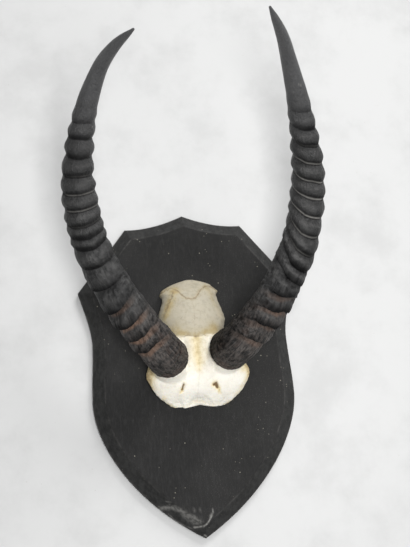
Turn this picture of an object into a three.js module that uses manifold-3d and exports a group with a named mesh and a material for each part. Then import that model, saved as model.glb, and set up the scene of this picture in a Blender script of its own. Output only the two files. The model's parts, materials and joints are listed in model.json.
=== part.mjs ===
// A pair of ringed antelope horns on a bleached skull cap, screwed to a black wooden wall shield.
// Units are millimetres, +Z is up, and the trophy lies on the shield's flat back.
// The origin is the middle of the back face: +Y runs to the shield's top, +X to the right-hand horn,
// and the horns stand out along +Z.
import * as THREE from "three";
import { mergeVertices } from "three/addons/utils/BufferGeometryUtils.js";
import Module from "manifold-3d";

const wasm = await Module();
wasm.setup();

// ---- Driving dimensions ----

const GAP = 0.3; // clearance between pieces that touch on sloping or round faces
const CUT_PAST = 2; // how far a cutting shape runs past the face that it opens
const MERGE_DISTANCE = 1e-4;
const HOLE_SIDES = 20;
const SCREW_SIDES = 16;

// Shield: the right half of its outline, with the points that pull its curves
const SHIELD_THICKNESS = 20;
const CHAMFER_DROP = 12;
const CHAMFER_WIDTH = 15;
const OUTLINE_STEPS = 8; // points along each curve
const APEX = { x: 0, y: 195 };
const SCALLOP_PULL = { x: 39.5, y: 178 };
const SHOULDER = { x: 73, y: 179.5 };
const CORNER = { x: 134, y: 101.5 };
const CORNER_PULL = { x: 128, y: 81 };
const WAIST = { x: 119, y: 36, pullUp: 20, pullDown: 22 };
const BELLY = { x: 122, y: -33, pullUp: 23, pullDown: 47 };
const TIP_PULL = { x: 80, y: -150 };
const TIP = { x: 0, y: -195 };

// Skull cap: midline height, half width and fullness of its section at stations along Y
const SKULL_SEAT_Z = SHIELD_THICKNESS;
const SKULL_ARC_STEPS = 20;
const SKULL_SKEW = { from: 50, shift: 0.031 }; // the snout end veers to +X, per mm of Y ahead of this line
const SKULL_STATIONS = [
  { y: -46.5, half: 33, top: 27, fullness: 3.0 },
  { y: -42, half: 42, top: 33, fullness: 2.8 },
  { y: -34, half: 50.5, top: 41, fullness: 2.6 },
  { y: -23, half: 59, top: 51, fullness: 2.4 },
  { y: -10, half: 63.5, top: 58.5, fullness: 2.2 },
  { y: -2, half: 62, top: 61, fullness: 2.2 },
  { y: 8, half: 55, top: 62, fullness: 2.1 },
  { y: 18, half: 44, top: 61, fullness: 2.1 },
  { y: 30, half: 37.5, top: 59.5, fullness: 2.2 },
  { y: 42, half: 37.5, top: 58.5, fullness: 2.2 },
  { y: 55, half: 41, top: 57, fullness: 2.2 },
  { y: 68, half: 40.5, top: 54, fullness: 2.1 },
  { y: 80, half: 36.5, top: 50, fullness: 2.1 },
  { y: 91, half: 37, top: 43, fullness: 2.1 },
  { y: 99, half: 31.5, top: 36, fullness: 2.1 },
  { y: 104.5, half: 20, top: 29.5, fullness: 2.1 },
  { y: 107.5, half: 7, top: 25, fullness: 2.1 },
];

// Horn pedicles: bone stumps that carry the horns
const PEDICLE_TOP_RADIUS = 22.5;
const PEDICLE_FOOT_RADIUS = 28;
const PEDICLE_HEIGHT = 26;
const PEDICLE_SIDES = 24;

// Horns: centreline from the pedicle to the tip, and the taper along it
const HORN_RIGHT_LINE = [
  [36, 14, 63],
  [47.5, 21.5, 90],
  [78.5, 55, 117],
  [111.5, 115, 139.5],
  [125.5, 184, 157.5],
  [117.5, 248, 186],
  [97, 289, 234],
  [83.3, 297.1, 268.2],
  [61.6, 300.8, 313.8],
];
const HORN_LEFT_LINE = [
  [-34, 9.5, 63],
  [-46.5, 18.5, 90],
  [-76, 52.5, 117],
  [-110.5, 112, 139],
  [-125.5, 182.5, 157.5],
  [-117.5, 245.5, 186],
  [-99.5, 279.5, 233],
  [-84.5, 283.6, 272.1],
  [-67, 280.5, 310],
];
const HORN_TAPER = [
  { along: 0, radius: 24 },
  { along: 0.05, radius: 22.8 },
  { along: 0.17, radius: 21.6 },
  { along: 0.33, radius: 20 },
  { along: 0.5, radius: 18.4 },
  { along: 0.66, radius: 13.4 },
  { along: 0.81, radius: 8.4 },
  { along: 0.87, radius: 7 },
  { along: 0.92, radius: 5.5 },
  { along: 0.96, radius: 3.9 },
  { along: 0.985, radius: 2.4 },
  { along: 1, radius: 1 },
];
const HORN_SIDES = 18;
const BASE_LEAN = { out: 0.24, back: 0.14 }; // lean of the horn's flat base, per unit of height
const BASE_BLEND = 40; // length over which the base's lean turns into the horn's own direction
const BASE_STEPS = 3; // cross-sections between a horn's base and its first ring
const TIP_STEPS = 10;

// Growth rings: where their crests lie along each horn
const RINGS_RIGHT = [67, 83, 104, 131, 150, 168, 186, 203, 221, 238, 257, 278, 295, 314];
const RINGS_LEFT = [48, 67, 86, 107, 134, 157, 177, 189, 201, 216, 232.5, 250, 271, 290, 307];
const RING_HEIGHT = 2.4;
const RINGS_GROWING = 5; // rings from the base over which they reach their full height
const RINGS_FADING = 3; // and the last ones, over which they fade into the smooth tip
const RING_PROFILE = [
  { from: -5, lift: -0.3 },
  { from: -3, lift: 0.4 },
  { from: 0, lift: 0.6 },
  { from: 5, lift: 0.1 },
];

// Wood screws from the back of the shield into the skull cap
const SKULL_SCREWS = [
  { name: "skull_screw_upper", y: 62 },
  { name: "skull_screw_lower", y: -14 },
];
const SKULL_SCREW = {
  length: 36,
  shankRadius: 2.3,
  headRadius: 4.6,
  headDepth: 3,
  headEdge: 0.25,
  slot: 1.1,
  sink: 0.8,
};
const SCREW_POINT = 0.15; // the part of a screw's length that tapers to its point

// Keyhole hanger plate let into the back of the shield, and its two screws
const HANGER = { y: 142, width: 64, height: 22, thickness: 1.6, corner: 5, cornerSteps: 6, sink: 0.4 };
const KEYHOLE = { entryRadius: 5.2, neckRadius: 2.4, drop: -4.5, rise: 6.5 };
const NAIL_POCKET = { radius: 7, depth: 9 };
const HANGER_SCREW = {
  length: 13,
  shankRadius: 1.5,
  headRadius: 3.1,
  headDepth: 1.3,
  headEdge: 0.25,
  slot: 0.7,
  offset: 24,
};

// ---- Materials ----

const blackPaintedWood = new THREE.MeshStandardMaterial({ color: 0x2f2e2d, roughness: 0.62 });
const bleachedBone = new THREE.MeshStandardMaterial({ color: 0xe9e0c8, roughness: 0.6 });
const hornKeratin = new THREE.MeshStandardMaterial({ color: 0x37332f, roughness: 0.5 });
const zincSteel = new THREE.MeshStandardMaterial({ color: 0x9a9a96, roughness: 0.4, metalness: 0.9 });

// ---- Solids and meshes ----

// Turns a closed three.js geometry into a manifold solid.
function solidOf(geometry) {
  const bare = geometry.clone();
  bare.deleteAttribute("normal");
  bare.deleteAttribute("uv");
  const merged = mergeVertices(bare, MERGE_DISTANCE);
  const skin = new wasm.Mesh({
    numProp: 3,
    vertProperties: new Float32Array(merged.attributes.position.array),
    triVerts: new Uint32Array(merged.index.array),
  });
  return new wasm.Manifold(skin);
}

// Gives a manifold solid back as a named mesh.
function meshOf(name, solid, material) {
  const { vertProperties, triVerts } = solid.getMesh();
  const geometry = new THREE.BufferGeometry();
  geometry.setAttribute("position", new THREE.BufferAttribute(vertProperties, 3));
  geometry.setIndex(new THREE.BufferAttribute(triVerts, 1));
  geometry.computeVertexNormals();
  const mesh = new THREE.Mesh(geometry, material);
  mesh.name = name;
  return mesh;
}

// Joins equal rings of points into one closed skin, with a flat fan over each end.
// The rings run counter-clockwise as seen from the last ring.
function loft(rings) {
  const sides = rings[0].length;
  const points = rings.flat();
  const first = points.push(centreOf(rings[0])) - 1;
  const last = points.push(centreOf(rings.at(-1))) - 1;
  const faces = [];
  for (let ring = 0; ring + 1 < rings.length; ring += 1) {
    for (let side = 0; side < sides; side += 1) {
      const next = (side + 1) % sides;
      const a = ring * sides + side;
      const b = ring * sides + next;
      faces.push(a, b, b + sides, a, b + sides, a + sides);
    }
  }
  const end = (rings.length - 1) * sides;
  for (let side = 0; side < sides; side += 1) {
    const next = (side + 1) % sides;
    faces.push(first, next, side, last, end + side, end + next);
  }
  const geometry = new THREE.BufferGeometry().setFromPoints(points);
  geometry.setIndex(faces);
  return geometry;
}

function centreOf(ring) {
  const sum = ring.reduce((total, point) => total.add(point), new THREE.Vector3());
  return sum.divideScalar(ring.length);
}

// Straight-line value between the stops of a profile.
function between(stops, at, key, value) {
  const upper = stops.findIndex((stop) => stop[key] >= at);
  if (upper <= 0) {
    return upper === 0 ? stops[0][value] : stops.at(-1)[value];
  }
  const low = stops[upper - 1];
  const high = stops[upper];
  return THREE.MathUtils.mapLinear(at, low[key], high[key], low[value], high[value]);
}

// ---- Shield ----

// Right half of the outline, from the apex clockwise to the tip.
function shieldHalf() {
  const half = new THREE.Path();
  half.moveTo(APEX.x, APEX.y);
  half.quadraticCurveTo(SCALLOP_PULL.x, SCALLOP_PULL.y, SHOULDER.x, SHOULDER.y);
  half.lineTo(CORNER.x, CORNER.y);
  half.bezierCurveTo(CORNER_PULL.x, CORNER_PULL.y, WAIST.x, WAIST.y + WAIST.pullUp, WAIST.x, WAIST.y);
  half.bezierCurveTo(WAIST.x, WAIST.y - WAIST.pullDown, BELLY.x, BELLY.y + BELLY.pullUp, BELLY.x, BELLY.y);
  half.bezierCurveTo(BELLY.x, BELLY.y - BELLY.pullDown, TIP_PULL.x, TIP_PULL.y, TIP.x, TIP.y);
  return half.getPoints(OUTLINE_STEPS);
}

// The board: an extruded outline whose chamfer is kept on the front only.
function shieldBoard() {
  const right = shieldHalf();
  const left = right.slice(1, -1).reverse().map((point) => new THREE.Vector2(-point.x, point.y));
  const board = new THREE.ExtrudeGeometry(new THREE.Shape([...right, ...left]), {
    depth: SHIELD_THICKNESS - CHAMFER_DROP,
    bevelThickness: CHAMFER_DROP,
    bevelSize: CHAMFER_WIDTH,
    bevelOffset: -CHAMFER_WIDTH,
    bevelSegments: 1,
  });
  const below = new THREE.BoxGeometry(3 * CORNER.x, 3 * APEX.y, 2 * CHAMFER_DROP);
  below.translate(0, 0, -CHAMFER_DROP);
  return solidOf(board).subtract(solidOf(below));
}

// A straight hole along Z.
function hole(radius, x, y, bottom, top) {
  const tool = new THREE.CylinderGeometry(radius, radius, top - bottom, HOLE_SIDES);
  tool.rotateX(Math.PI / 2);
  tool.translate(x, y, (bottom + top) / 2);
  return solidOf(tool);
}

// A cone-mouthed hole for a countersunk screw that goes in along +Z, its head at the given height.
function countersunkHole(screw, x, y, headZ) {
  const mouth = screw.headRadius + GAP;
  const bore = screw.shankRadius + GAP;
  const profile = [
    new THREE.Vector2(0, -CUT_PAST),
    new THREE.Vector2(mouth, -CUT_PAST),
    new THREE.Vector2(mouth, headZ + GAP),
    new THREE.Vector2(bore, headZ + screw.headDepth + GAP),
    new THREE.Vector2(bore, headZ + screw.length + GAP),
    new THREE.Vector2(0, headZ + screw.length + GAP),
  ];
  const tool = new THREE.LatheGeometry(profile, HOLE_SIDES);
  tool.rotateX(Math.PI / 2);
  tool.translate(x, y, 0);
  return solidOf(tool);
}

// The finished shield: the board less its screw holes, the hanger's recess and the nail's pocket.
function shield() {
  let board = shieldBoard();
  for (const { y } of SKULL_SCREWS) {
    board = board.subtract(countersunkHole(SKULL_SCREW, 0, y, SKULL_SCREW.sink));
  }
  board = board.subtract(hangerBlank(GAP, -CUT_PAST, HANGER.sink + HANGER.thickness));
  for (const end of [KEYHOLE.drop, KEYHOLE.rise]) {
    board = board.subtract(hole(NAIL_POCKET.radius, 0, HANGER.y + end, 0, NAIL_POCKET.depth));
  }
  for (const side of [-1, 1]) {
    board = board.subtract(countersunkHole(HANGER_SCREW, side * HANGER_SCREW.offset, HANGER.y, HANGER.sink));
  }
  return meshOf("shield", board, blackPaintedWood);
}

// ---- Screws ----

// A slotted countersunk wood screw pointing along +Z, its head's flat face at the given height.
function woodScrew(name, screw, x, y, headZ) {
  const profile = [
    new THREE.Vector2(0, 0),
    new THREE.Vector2(screw.headRadius, 0),
    new THREE.Vector2(screw.headRadius, screw.headEdge),
    new THREE.Vector2(screw.shankRadius, screw.headDepth),
    new THREE.Vector2(screw.shankRadius, screw.length * (1 - SCREW_POINT)),
    new THREE.Vector2(0, screw.length),
  ];
  const body = new THREE.LatheGeometry(profile, SCREW_SIDES);
  body.rotateX(Math.PI / 2);
  const slot = new THREE.BoxGeometry(2 * screw.headRadius + CUT_PAST, screw.slot, screw.headDepth);
  const cut = solidOf(body).subtract(solidOf(slot));
  return meshOf(name, cut.translate([x, y, headZ]), zincSteel);
}

// ---- Hanger ----

// A bar with round corners, centred on the hanger's place.
function hangerBlank(margin, bottom, top) {
  const halfWidth = HANGER.width / 2 + margin;
  const halfHeight = HANGER.height / 2 + margin;
  const radius = HANGER.corner + margin;
  const outline = new THREE.Shape();
  outline.absarc(halfWidth - radius, halfHeight - radius, radius, 0, Math.PI / 2);
  outline.absarc(radius - halfWidth, halfHeight - radius, radius, Math.PI / 2, Math.PI);
  outline.absarc(radius - halfWidth, radius - halfHeight, radius, Math.PI, 1.5 * Math.PI);
  outline.absarc(halfWidth - radius, radius - halfHeight, radius, 1.5 * Math.PI, 2 * Math.PI);
  const bar = new THREE.ExtrudeGeometry(outline, {
    depth: top - bottom,
    bevelEnabled: false,
    curveSegments: HANGER.cornerSteps,
  });
  bar.translate(0, HANGER.y, bottom);
  return solidOf(bar);
}

// The keyhole: a round entry for the nail's head and a narrow neck above it.
function keyhole(bottom, top) {
  const entry = hole(KEYHOLE.entryRadius, 0, HANGER.y + KEYHOLE.drop, bottom, top);
  const end = hole(KEYHOLE.neckRadius, 0, HANGER.y + KEYHOLE.rise, bottom, top);
  const run = KEYHOLE.rise - KEYHOLE.drop;
  const neck = new THREE.BoxGeometry(2 * KEYHOLE.neckRadius, run, top - bottom);
  neck.translate(0, HANGER.y + KEYHOLE.drop + run / 2, (bottom + top) / 2);
  return entry.add(end).add(solidOf(neck));
}

function hangerPlate() {
  const bottom = HANGER.sink;
  const top = bottom + HANGER.thickness;
  let plate = hangerBlank(0, bottom, top).subtract(keyhole(bottom - CUT_PAST, top + CUT_PAST));
  for (const side of [-1, 1]) {
    plate = plate.subtract(countersunkHole(HANGER_SCREW, side * HANGER_SCREW.offset, HANGER.y, bottom));
  }
  return meshOf("hanger_plate", plate, zincSteel);
}

// ---- Horns ----

// The direction that a horn's flat base faces; side is +1 on the right and -1 on the left.
function baseFacing(side) {
  return new THREE.Vector3(side * BASE_LEAN.out, BASE_LEAN.back, 1).normalize();
}

// Where the cross-sections lie along a horn, and how far a growth ring lifts each off the taper.
function ringPlaces(crests, length) {
  const places = [];
  const firstRing = crests[0] + RING_PROFILE[0].from;
  for (let step = 0; step <= BASE_STEPS; step += 1) {
    places.push({ at: (firstRing * step) / (BASE_STEPS + 1), lift: 0 });
  }
  crests.forEach((crest, ring) => {
    const strength = Math.min(1, (ring + 1) / RINGS_GROWING, (crests.length - ring) / RINGS_FADING);
    for (const { from, lift } of RING_PROFILE) {
      places.push({ at: crest + from, lift: lift * strength * RING_HEIGHT });
    }
  });
  const smoothFrom = places.at(-1).at;
  for (let step = 1; step <= TIP_STEPS; step += 1) {
    places.push({ at: smoothFrom + ((length - smoothFrom) * step) / TIP_STEPS, lift: 0 });
  }
  return places;
}

// The cross-sections of a horn: where each is, the way it faces, and its radius.
function hornSections(line, crests, side) {
  const curve = new THREE.CatmullRomCurve3(line.map((point) => new THREE.Vector3(...point)));
  const length = curve.getLength();
  return ringPlaces(crests, length).map(({ at, lift }) => {
    const along = Math.min(at / length, 1);
    const turned = THREE.MathUtils.smoothstep(at, 0, BASE_BLEND);
    return {
      centre: curve.getPointAt(along),
      facing: baseFacing(side).lerp(curve.getTangentAt(along), turned).normalize(),
      radius: between(HORN_TAPER, along, "along", "radius") + lift,
    };
  });
}

// A round ring of points about a centre, square to the way it faces.
function roundRing({ centre, facing, radius }, sides) {
  const across = new THREE.Vector3(1, 0, 0).projectOnPlane(facing).normalize();
  const up = new THREE.Vector3().crossVectors(facing, across);
  return Array.from({ length: sides }, (_, step) => {
    const angle = (2 * Math.PI * step) / sides;
    return centre
      .clone()
      .addScaledVector(across, radius * Math.cos(angle))
      .addScaledVector(up, radius * Math.sin(angle));
  });
}

function horn(name, line, crests, side) {
  const rings = hornSections(line, crests, side).map((section) => roundRing(section, HORN_SIDES));
  return meshOf(name, solidOf(loft(rings)), hornKeratin);
}

// ---- Skull cap ----

// One section across the skull cap: a flat seat and a rounded vault over it.
function skullRing({ y, half, top, fullness }) {
  const rise = top - SKULL_SEAT_Z;
  const middle = SKULL_SKEW.shift * Math.max(SKULL_SKEW.from - y, 0);
  return Array.from({ length: SKULL_ARC_STEPS + 1 }, (_, step) => {
    const angle = (Math.PI * step) / SKULL_ARC_STEPS;
    const across = Math.sign(Math.cos(angle)) * Math.abs(Math.cos(angle)) ** (2 / fullness);
    const z = SKULL_SEAT_Z + rise * Math.max(Math.sin(angle), 0) ** (2 / fullness);
    return new THREE.Vector3(middle - half * across, y, z);
  });
}

// The bone stump under a horn: a cone that ends just short of the horn's base.
function pedicle(line, side) {
  const facing = baseFacing(side);
  const top = new THREE.Vector3(...line[0]).addScaledVector(facing, -GAP);
  const foot = top.clone().addScaledVector(facing, -PEDICLE_HEIGHT);
  const rings = [
    { centre: foot, facing, radius: PEDICLE_FOOT_RADIUS },
    { centre: top, facing, radius: PEDICLE_TOP_RADIUS },
  ];
  return solidOf(loft(rings.map((ring) => roundRing(ring, PEDICLE_SIDES))));
}

function skullCap() {
  let cap = solidOf(loft(SKULL_STATIONS.map(skullRing)));
  cap = cap.add(pedicle(HORN_RIGHT_LINE, 1)).add(pedicle(HORN_LEFT_LINE, -1));
  for (const { y } of SKULL_SCREWS) {
    cap = cap.subtract(countersunkHole(SKULL_SCREW, 0, y, SKULL_SCREW.sink));
  }
  return meshOf("skull_cap", cap, bleachedBone);
}

// ---- The trophy ----

const trophy = new THREE.Group();
trophy.add(shield(), skullCap());
trophy.add(horn("horn_left", HORN_LEFT_LINE, RINGS_LEFT, -1));
trophy.add(horn("horn_right", HORN_RIGHT_LINE, RINGS_RIGHT, 1));
for (const { name, y } of SKULL_SCREWS) {
  trophy.add(woodScrew(name, SKULL_SCREW, 0, y, SKULL_SCREW.sink));
}
trophy.add(hangerPlate());
trophy.add(woodScrew("hanger_screw_left", HANGER_SCREW, -HANGER_SCREW.offset, HANGER.y, HANGER.sink));
trophy.add(woodScrew("hanger_screw_right", HANGER_SCREW, HANGER_SCREW.offset, HANGER.y, HANGER.sink));

export default trophy;
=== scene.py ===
"""Antelope horns on a bleached skull cap and a black wooden wall shield.

Lengths are in metres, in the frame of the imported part: the shield's flat back lies at z = 0, +Y runs
to the shield's scalloped top, +X to the right-hand horn, and the horns stand out along +Z. The named
shapes below are in millimetres, as a maker would measure them, and are turned into metres in use.
"""

import json
import math

import bmesh
import bpy
import numpy as np
from bpy.props import FloatProperty, FloatVectorProperty, PointerProperty
from mathutils import Matrix, Vector
from mathutils.geometry import delaunay_2d_cdt

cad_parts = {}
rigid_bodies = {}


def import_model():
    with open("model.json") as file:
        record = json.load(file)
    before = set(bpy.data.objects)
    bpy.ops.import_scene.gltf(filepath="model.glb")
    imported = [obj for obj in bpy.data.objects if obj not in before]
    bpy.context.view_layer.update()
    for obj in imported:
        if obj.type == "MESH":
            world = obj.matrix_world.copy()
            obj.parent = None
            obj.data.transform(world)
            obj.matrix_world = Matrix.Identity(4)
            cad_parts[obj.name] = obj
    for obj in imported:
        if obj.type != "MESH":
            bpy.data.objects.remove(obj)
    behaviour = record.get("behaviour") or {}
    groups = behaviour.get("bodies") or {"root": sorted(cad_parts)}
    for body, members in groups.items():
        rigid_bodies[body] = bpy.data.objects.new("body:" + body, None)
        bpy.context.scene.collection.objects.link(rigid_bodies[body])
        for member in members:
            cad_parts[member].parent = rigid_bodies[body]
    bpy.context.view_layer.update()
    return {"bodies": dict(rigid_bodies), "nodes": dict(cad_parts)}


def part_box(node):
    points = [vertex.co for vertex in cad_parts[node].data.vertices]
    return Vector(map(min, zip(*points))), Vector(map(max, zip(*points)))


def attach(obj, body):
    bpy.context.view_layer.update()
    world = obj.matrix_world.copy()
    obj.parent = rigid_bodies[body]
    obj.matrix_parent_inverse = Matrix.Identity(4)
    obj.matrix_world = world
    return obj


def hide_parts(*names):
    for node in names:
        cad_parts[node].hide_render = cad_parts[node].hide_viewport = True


bl_info = {
    "name": "Horn Trophy",
    "version": (1, 0, 0),
    "blender": (4, 5, 0),
    "location": "3D View > Sidebar > Trophy",
    "description": "Builds a pair of ringed antelope horns on a skull cap and a wall shield",
    "category": "Add Mesh",
}

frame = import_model()

MM = 0.001
BODY = next(iter(frame["bodies"]))

# ---- Shapes: horns, in millimetres ----

HORN_LINES = {
    "horn_right": (
        (36, 14, 63), (47.5, 21.5, 90), (78.5, 55, 117), (111.5, 115, 139.5), (125.5, 184, 157.5),
        (117.5, 248, 186), (97, 289, 234), (83.3, 297.1, 268.2), (61.6, 300.8, 313.8),
    ),
    "horn_left": (
        (-34, 9.5, 63), (-46.5, 18.5, 90), (-76, 52.5, 117), (-110.5, 112, 139), (-125.5, 182.5, 157.5),
        (-117.5, 245.5, 186), (-99.5, 279.5, 233), (-84.5, 283.6, 272.1), (-67, 280.5, 310),
    ),
}
HORN_TAPER = (  # share of the length, radius
    (0, 24), (0.05, 22.8), (0.17, 21.6), (0.33, 20), (0.5, 18.4), (0.66, 13.4),
    (0.81, 8.4), (0.87, 7), (0.92, 5.5), (0.96, 3.9), (0.985, 2.4), (1, 1),
)
NOSE = 1.3
BASE_ROUND = 1.1
BASE_LEAN = (0.24, 0.14)  # lean of the flat base, out and back, per unit of height
BASE_BLEND = 40
PEDICLE = {"top": 22.5, "foot": 28, "height": 26, "gap": 0.3}

# Growth rings, along the horn: where each one's lower rim crosses the horn's outer side, the side towards
# the front point, and the inner side
RINGS = {
    "horn_right": (
        (0, 0, 0), (46, 45.5, 36), (69, 63.5, 57), (86, 82, 72), (105, 98.5, 96), (118, 120.5, 137),
        (134, 134, 159), (153, 150, 175.7), (171.5, 166.6, 192.4), (190.6, 187, 207), (209.7, 207, 223.6),
        (227.7, 226.2, 240), (246.5, 246.3, 260.4), (267, 265.6, 280.5), (286, 286, 296.5),
        (305.5, 307.5, 315), (323.6, 328, 333), (360, 360, 360), (460, 460, 460),
    ),
    "horn_left": (
        (0, 0, 0), (46, 49.5, 43), (64, 64.5, 63), (81, 82.5, 86), (102, 101.5, 108), (130, 123, 131),
        (153, 145, 154), (173, 165, 174), (185, 176, 186), (197, 187.5, 198), (212, 204.5, 213),
        (228.5, 222.5, 229.5), (246.3, 241.5, 247), (266.7, 262, 267), (284, 283.5, 288), (300, 303, 306),
        (319, 323, 326), (350, 350, 350), (450, 450, 450),
    ),
}
MOST_RINGS = 40
SIDES = {"horn_right": 1, "horn_left": -1}
SEEDS = {"horn_right": 21, "horn_left": 34, "skull_cap": 11, "shield": 5}
# Where along a horn, in metres, each zone starts to show and where it is whole: the low part with lipped
# rings, rough horn, the smooth tip, and the stretch that has rings, from its start and from its end
ZONES = {
    "low": (0.17, 0.10), "rough": (0.22, 0.08), "tip": (0.30, 0.34),
    "first_ring": (0.020, 0.060), "last_ring": (0.335, 0.28),
}
FRONT_POINT = (-116, -112, 970)
KEEL_TURN, TAN_TURN = 0.25, 0.3  # radians from the front to the keel, and on to where most tan shows
# Where along the horn lipped rings give way to rounded ones, in metres
ROUNDING = {"horn_right": (0.115, 0.16), "horn_left": (0.12, 0.17)}
# How much tan shows under the lips
TAN_LAYERS = {"horn_right": 0.5, "horn_left": 1.0}
# How dark the inner side is beside the bone
BASE_SHADE = {"horn_right": 1.0, "horn_left": 0.35}
# Rings whose lower rim is worn to a thin pale line: ring number and how clearly it shows
PALE_RIMS = {
    "horn_right": ((7, 0.25), (8, 0.6), (9, 1.0), (10, 1.0), (11, 0.9), (12, 0.75), (13, 0.12)),
    "horn_left": ((9, 0.1), (10, 0.5), (11, 0.5), (12, 0.12)),
}
# Pale nicks: places along the horn and round it from the front
NICKS = {"horn_right": ((336.5, 6), (338, 3.5), (341, 0.5)), "horn_left": ((300, -11), (301, -12))}
# The grid of a horn: steps over its rings, which end so far along it, over its smooth tip, and round it
RING_STEPS, RINGS_END = 620, 312
TIP_STEPS = 66
ROUND_STEPS = 142

# ---- Shapes: skull cap, in millimetres ----

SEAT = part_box("skull_cap")[0].z / MM
MIDLINE = 0.8
SKULL_EDGES = (  # y, left edge, right edge
    (-46.5, -30, 35), (-44, -36, 41.5), (-42, -38.5, 45), (-38, -42.5, 48.5), (-34, -46.7, 52.5),
    (-29, -50, 56), (-23, -53.5, 60), (-17, -56.5, 63.2), (-11, -59.3, 65.5), (-6, -60, 65.5),
    (-2, -59, 64), (4, -56.7, 60), (10, -51, 53.5), (18, -43, 46), (30, -37.5, 38.5), (42, -37, 38),
    (50, -38.3, 40), (56, -39.8, 41.9), (63.6, -40.3, 40.3), (70, -38.7, 38.6), (76, -36.7, 36.6),
    (81, -35.2, 35.2), (86.5, -35, 34.3), (88.5, -36.2, 34.6), (90.5, -37.5, 36), (92, -37, 37),
    (94, -36.2, 35.3), (96.2, -35.2, 33), (99.7, -28.8, 29.7), (102, -24.5, 27.2),
    (105, -17, 20), (106.6, -10.5, 14.5), (107.5, -5, 6),
)
SKULL_TOPS = (  # y, height of the midline, fullness of the section
    (-46.5, 27, 3.2), (-42, 33, 3), (-34, 41, 2.9), (-23, 51, 2.8), (-10, 58.5, 2.6), (-2, 61, 2.5),
    (8, 62, 2.3), (18, 61, 2.2), (30, 59.5, 2.2), (42, 58.5, 2.2), (55, 57, 2.2), (68, 54, 2.1),
    (80, 50, 2.1), (91, 43, 2.1), (99, 36, 2.1), (104.5, 29.5, 2.1), (107.5, 25, 2.1),
)
FRONT_EDGE = (  # x, y of the broken front edge
    (-32, -45.4), (-28, -44.8), (-22.5, -44.2), (-15.6, -46.2), (-10, -44.6), (-5.3, -41.6), (-0.7, -41.2),
    (4.7, -41.6), (10, -43.2), (15.4, -46.2), (20.8, -46.5), (26.3, -46.5), (30.2, -45.5), (36, -45.3),
)
LAMBDOID_SUTURE = (
    (-34.6, 91.6), (-28.9, 95), (-22.3, 96.6), (-17.9, 94.5), (-13.6, 88.9), (-10.3, 84.1),
    (-6.9, 80.7), (-1.5, 79.5), (4, 80.1), (7, 83.2), (9.2, 87.7), (12.3, 91.8), (18.5, 96.8),
    (23.2, 97.4), (27.7, 95.4), (32.1, 91.9),
)
CORONAL_SUTURE = (
    (-18, 33.5), (-9.8, 34.7), (-4.5, 34.1), (-0.2, 32.3), (4.3, 32.9), (10.7, 33.9), (18, 32),
)
SAGITTAL_SUTURE = ((-1.5, 79.5), (0.5, 66), (-0.6, 50), (-0.2, 32.3))
FRONTAL_SUTURE = ((-0.2, 32.3), (1.1, 16), (1.3, 3), (0.8, -10), (-0.6, -28), (-1.2, -46))
TEMPORAL_LEFT = ((-20, 91), (-21.7, 84), (-24.8, 79.5), (-27, 74), (-30.2, 66.8), (-33.4, 60.5))
TEMPORAL_RIGHT = ((19, 96), (20.4, 93), (24.4, 84.3), (28.2, 74.7), (31.1, 65.2), (33.3, 58.6))
NUCHAL_RIM = (
    (-35.5, 91), (-31, 96.5), (-20, 102.2), (-8, 105.4), (5, 105.8), (16, 104), (26, 99.4), (34.5, 92),
)
FORAMEN_LEFT = ((-17.1, -21.2), (-19.2, -26))
FORAMEN_RIGHT = ((17.8, -23), (20.6, -21.4), (22, -26.2))
FORAMEN_TAILS = (((22.4, -27), (25.2, -32)), ((-19, -25.4), (-20.8, -29)))
LINE_STAINS = (  # line, strength, width
    (TEMPORAL_LEFT, 0.6, 5), (TEMPORAL_LEFT, 0.12, 9), (TEMPORAL_RIGHT, 0.25, 5), (LAMBDOID_SUTURE, 0.22, 3),
    (FORAMEN_RIGHT, 0.7, 3.6), (FORAMEN_LEFT, 0.35, 3.2),
)
ROUND_STAINS = (  # x, y, strength, width
    (-56, -6, 0.75, 9), (61, -5, 0.75, 9), (-23, 44, 0.4, 9), (23, 42, 0.5, 8),
)
# The grid of the skull cap: sections along it, steps over each one and steps across its underside
SKULL_STEPS = {"along": 430, "over": 196, "under": 22}

# ---- Shapes: shield, in millimetres ----

SHIELD_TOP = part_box("shield")[1].z / MM
APEX = (0, 195)
SCALLOP_PULL = (39.5, 178)
SHOULDER = (73, 179.5)
ARRISES = {"face": 0.9, "slope": 0.8, "lower": 0.9, "back": 0.7}  # how far each rounding runs
CORNER_FADE = 12
CORNER = (134, 101.5)
CORNER_PULL = (128, 81)
WAIST = (119, 36)
WAIST_PULLS = ((119, 56), (119, 14))
BELLY = (122, -33)
BELLY_PULLS = ((122, -10), (122, -80))
TIP_PULL = (80, -150)
TIP = (0, -195)
HANGER = {"y": 142, "width": 64, "height": 22, "corner": 5, "depth": 2, "gap": 0.3}
NAIL_POCKET = {"radius": 7, "ys": (137.5, 148.5), "depth": 9}
SKULL_SCREW_HOLES = {"ys": (62, -14), "mouth": 4.9, "edge": 1.1, "bore": 2.6, "cone": 4.1, "end": 19}
HANGER_SCREW_HOLES = {"x": 24, "bore": 1.8, "end": 13.7}
FIXINGS = (
    "hanger_plate", "hanger_screw_left", "hanger_screw_right", "skull_screw_upper", "skull_screw_lower",
)
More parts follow.
